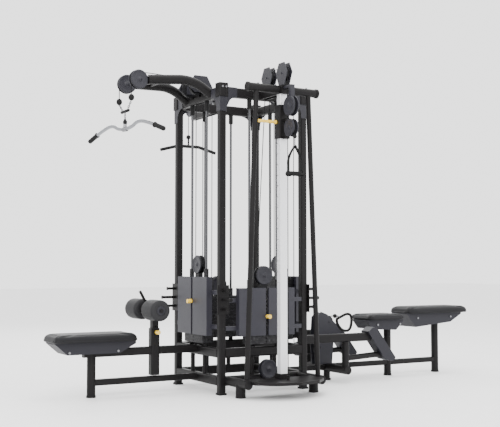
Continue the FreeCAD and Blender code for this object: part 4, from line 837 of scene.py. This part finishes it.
def makeStrap():
    s = strapSettings
    lo, hi = lowHigh("strap_handle")
    glo, ghi = lowHigh("handle_grip")
    x, y = (lo[0] + hi[0]) / 2, (glo[1] + ghi[1]) / 2
    gripZ = (glo[2] + ghi[2]) / 2
    ballZ = hi[2] - s["ball"]
    apex = ballZ - s["apexDown"]
    ballPiece = turnedPiece("strapStop", (x, y, ballZ), (0, 0, 1), ballOutline(s["ball"], s["ball"], 25),
                            "rubber", "strap_hanging")
    linkEnds = [(x, y, ballZ - s["linkTop"]), (x, y, apex + s["linkFoot"])]
    link = tubePiece("strapLink", resample(linkEnds, s["linkStep"]), s["linkRadius"], "steel",
                     "strap_hanging", 14)
    middle = (x, y, apex + s["ringUp"])
    ring = arcPath(middle, s["ring"], 0, 360, (1, 0, 0), (0, 0, 1), 41)[:-1]
    outwards = (ring - list(middle)) / s["ring"]
    grid = hoopGrid(ring, s["wire"], outwards, np.array([0, 1.0, 0]), 12)
    ringPiece = gridPiece("strapRing", grid, "steel", "strap_hanging", closeRows=True)
    for piece in (ballPiece, link, ringPiece):
        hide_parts("strap_handle")
    makeWebbing(x, y, apex, gripZ)
    makeGrip(glo[0], ghi[0] - glo[0], y, gripZ)
    print("strap handle")


# ---- rowing handle: one closed loop with a wrapped grip, its corners measured from the ball stop
loopSettings = {
    "corners": ((0.052, -0.008), (0.186, 0.026), (0.176, -0.118), (0.092, -0.124), (0.036, -0.060),
                (0.036, -0.014)),
    "wheelUp": 0.045, "radius": 0.0105, "rib": 0.0005, "pitch": 0.006, "sides": 20, "ball": 0.017,
    "neckStart": (0.028, 0.0), "neckEnd": (0.050, -0.002), "neckRadius": 0.006, "neckStep": 0.004,
}


def makeLoop():
    s = loopSettings
    lo, hi = lowHigh("row_handle")
    y = (lo[1] + hi[1]) / 2
    x0, z0 = lo[0], joints["row_wheel_turn"]["pos_m"][2] + s["wheelUp"]
    corners = np.array(s["corners"])
    p = np.stack([x0 + corners[:, 0], np.full(len(corners), y), z0 + corners[:, 1]], 1)
    # corners are cut three times at their quarter points, on a path that overlaps its own start
    closed = np.concatenate([p, p[:2]])
    for _ in range(3):
        a, b = closed[:-1] * 0.75 + closed[1:] * 0.25, closed[:-1] * 0.25 + closed[1:] * 0.75
        closed = np.stack([a, b], 1).reshape(-1, 3)[:-2]
    # one lap only: points are kept until the angle round the middle comes back
    centre = p.mean(0)
    angle = np.unwrap(np.arctan2(closed[:, 2] - centre[2], closed[:, 0] - centre[0]))
    lap = closed[np.abs(angle - angle[0]) < 2 * np.pi - 0.01]
    ahead = unitRows(np.roll(lap, -1, 0) - np.roll(lap, 1, 0))
    flat = np.array([0, 1.0, 0])
    run = np.r_[0, np.cumsum(np.linalg.norm(np.diff(lap, axis=0), axis=1))]
    # the wrap is a rectified sine wave along the loop
    r = (s["radius"] + s["rib"] * np.abs(np.sin(run / s["pitch"] * np.pi)))[:, None, None]
    grid = hoopGrid(lap, r, np.cross(ahead, flat), flat, s["sides"])
    loop = gridPiece("rowLoop", grid, "rubber", "row_handle_pulled", closeRows=True)
    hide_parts("row_handle")
    stop = turnedPiece("rowStop", (x0 + s["ball"], y, z0), (1, 0, 0), ballOutline(s["ball"], s["ball"], 25),
                       "rubber", "row_handle_pulled")
    neckEnds = [(x0 + dx, y, z0 + dz) for dx, dz in (s["neckStart"], s["neckEnd"])]
    neck = tubePiece("rowNeck", resample(neckEnds, s["neckStep"]), s["neckRadius"], "steel",
                     "row_handle_pulled", 14)
    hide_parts("row_handle")
    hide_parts("row_handle")
    print("rowing handle")


# ---- footplate treads: raised bars across the leaning face
treadSettings = {"top": (1.074, 0.408), "foot": (1.252, 0.178), "count": 9, "first": 0.030, "pitch": 0.028,
                 "proud": 0.0012, "plateHalf": 0.048, "half": 0.038, "fade": 0.0385, "height": 0.0036,
                 "flat": 1.4}


def makeTreads():
    s = treadSettings
    lo, hi = lowHigh("footplates")
    towerX = towerMiddleX()
    top = np.array([towerX + s["top"][0], s["top"][1]])
    foot = np.array([towerX + s["foot"][0], s["foot"][1]])
    slope = (foot - top) / np.linalg.norm(foot - top)
    out = np.array([-slope[1], slope[0]])
    out *= np.sign(out[0])
    ring = np.linspace(0, 2 * np.pi, 12, endpoint=False)
    oval = np.cos(ring)[None, :, None] * slope * s["flat"] + np.sin(ring)[None, :, None] * out
    across = np.linspace(-s["half"], s["half"], 9)
    # the bar thins out at its ends: root of one minus the eighth power of the way out
    r = s["height"] * np.sqrt(np.clip(1 - (across / s["fade"]) ** 8, 0.02, 1))
    for hand, word in ((-1, "Near"), (1, "Far")):
        middle = lo[1] + s["plateHalf"] if hand < 0 else hi[1] - s["plateHalf"]
        parts = []
        for k in range(s["count"]):
            at = top + slope * (s["first"] + k * s["pitch"]) + out * s["proud"]
            xz = at[None, None] + oval * r[:, None, None]
            y = np.broadcast_to(middle + across[:, None], xz.shape[:2])
            grid = np.stack([xz[..., 0], y, xz[..., 1]], -1)
            parts.append(gridPiece(f"bar{k}", grid, "rubber", None))
        joined("tread" + word, parts, "rubber", "frame")
    print("treads")


# ---- corner castings: thin plates with a hollow quarter curve from each column into the ring
cornerSettings = {"column": 0.025, "sweep": 0.085, "thick": 0.004, "drop": 0.085, "curve": 14,
                  "ringTop": 2.170,
                  "ringLow": 2.100, "gap": 0.001, "past": 0.003, "below": 0.02, "proud": 0.0008,
                  "edge": 0.001}


def cornerOutline():
    # quarter circle centred below the ring and beyond the column, as (distance inwards, height)
    s = cornerSettings
    t = np.radians(np.linspace(0, 90, s["curve"]))
    inner = 2 * s["column"] + s["gap"]
    ringTop, ringLow = s["ringTop"], s["ringLow"]
    arcU = inner + s["sweep"] * (1 - np.sin(t[::-1]))
    arcW = ringLow - s["sweep"] + s["sweep"] * np.cos(t[::-1])
    foot = ringLow - s["drop"] - s["below"]
    u = np.r_[-s["past"], -s["past"], inner, arcU, inner + s["sweep"], inner + s["sweep"]]
    w = np.r_[ringTop, foot, foot, arcW, ringLow, ringTop]
    keep = np.r_[True, np.hypot(np.diff(u), np.diff(w)) > 1e-5]
    return u[keep], w[keep]


def makeCorners():
    s = cornerSettings
    lo, hi = lowHigh("tower_columns")
    u, w = cornerOutline()
    plates = []
    for sx in (0, 1):
        for sy in (0, 1):
            corner = np.array([(lo, hi)[sx][0], (lo, hi)[sy][1]])
            inward = np.array([1 - 2 * sx, 1 - 2 * sy])
            for along in (0, 1):
                face = 1 - along
                grid = np.zeros((2, len(u), 3))
                for k, depth in enumerate((s["proud"], -s["thick"])):
                    grid[k, :, along] = corner[along] + inward[along] * u
                    grid[k, :, face] = corner[face] + inward[face] * depth
                    grid[k, :, 2] = w
                plates.append(gridPiece(f"plate{sx}{sy}{along}", grid, "cover_grey", None, smooth=False))
    castings = joined("cornerCastings", plates, "cover_grey", "frame")
    castings.data.polygons.foreach_set("use_smooth", np.zeros(len(castings.data.polygons), bool))
    bevelled(castings, s["edge"])
    print("corner castings")


# ---- spreader: two rubber stops, twisted link chains, a short beam and a swivel
spreaderSettings = {
    "stop": 0.021, "stopLong": 0.024, "pitch": 0.017, "wire": 0.0024, "spread": 0.046, "stopsY": 0.110,
    "topUp": 0.212, "beamUp": 0.128, "beamHalf": 0.062, "beamRadius": 0.0105, "beamStep": 0.01,
    "swivelUp": 0.040,
    "chainTop": 0.020, "chainFoot": 0.008, "dropFoot": 0.066, "overlap": 0.72, "linkHalf": 0.006,
    "swivel": [(0, 0.0005), (0, 0.0145), (0.004, 0.015), (0.018, 0.015), (0.024, 0.010), (0.034, 0.007),
               (0.034, 0.0005)],
}


def chainPiece(name, start, end, body):
    # flat rings along a line, every other one turned a quarter
    s = spreaderSettings
    start, end = np.asarray(start, float), np.asarray(end, float)
    way = end - start
    length = np.linalg.norm(way)
    way /= length
    side = np.cross(way, [0.31, 0.2, 0.93])
    side /= np.linalg.norm(side)
    other = np.cross(way, side)
    count = max(2, int(round(length / s["pitch"])))
    t = np.linspace(0, 2 * np.pi, 24, endpoint=False)
    along, sideways = np.cos(t)[:, None], np.sin(t)[:, None]
    rings = []
    for k in range(count):
        centre = start + way * length * (k + 0.5) / count
        across, flat = (side, other) if k % 2 else (other, side)
        lap = centre + along * way * length / count * s["overlap"] + sideways * across * s["linkHalf"]
        grid = hoopGrid(lap, s["wire"], along * way + sideways * across, flat, 8)
        rings.append(gridPiece(f"link{k}", grid, "steel", None, closeRows=True))
    return joined(name, rings, "steel", body)


def makeSpreader():
    s = spreaderSettings
    lo, hi = lowHigh("lat_spreader")
    x, y = (lo[0] + hi[0]) / 2, (lo[1] + hi[1]) / 2
    barZ = barSettings["low"]
    top, beamZ = barZ + s["topUp"], barZ + s["beamUp"]
    made = []
    for hand, word in ((-1, "Front"), (1, "Back")):
        stopY = y + hand * s["stopsY"]
        made.append(turnedPiece("spreaderStop" + word, (x, stopY, top), (0, 0, 1),
                                ballOutline(s["stopLong"], s["stop"], 21), "rubber", "lat_hanger"))
        made.append(chainPiece("spreaderChain" + word, (x, stopY, top - s["chainTop"]),
                               (x, y + hand * s["spread"], beamZ + s["chainFoot"]), "lat_hanger"))
    beamEnds = [(x, y - s["beamHalf"], beamZ), (x, y + s["beamHalf"], beamZ)]
    made.append(tubePiece("spreaderBeam", resample(beamEnds, s["beamStep"]), s["beamRadius"], "rubber",
                          "lat_hanger", 20))
    made.append(chainPiece("spreaderDrop", (x, y, beamZ - s["chainFoot"]), (x, y, barZ + s["dropFoot"]),
                           "lat_hanger"))
    made.append(turnedPiece("spreaderSwivel", (x, y, barZ + s["swivelUp"]), (0, 0, 1), s["swivel"], "rubber",
                            "lat_hanger"))
    for piece in made:
        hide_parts("lat_spreader")
    print("spreader")


# ---- floor
floorSettings = {"half": 30, "noise": 3, "detail": 4, "rough": 0.62,
                 "tones": ((0.86, 0.86, 0.86), (0.9, 0.9, 0.9))}


def makeFloor():
    s = floorSettings
    h = s["half"]
    floor = addPiece("floor", [(-h, -h, 0), (h, -h, 0), (h, h, 0), (-h, h, 0)], [(0, 1, 2, 3)], "frame_paint")
    pale = Finish("paleFloor")
    tone = pale.mix(pale.noise(s["noise"], s["detail"]), *s["tones"])
    floor.data.materials[0] = pale.done(Base_Color=tone, Roughness=s["rough"])


makeFloor()
makeCamera()
makeLamps()
makePads()
makeRollers()
makeDiscs()
makeCables()
makeBar()
makeStrap()
makeLoop()
makeTreads()
makeCorners()
makeSpreader()
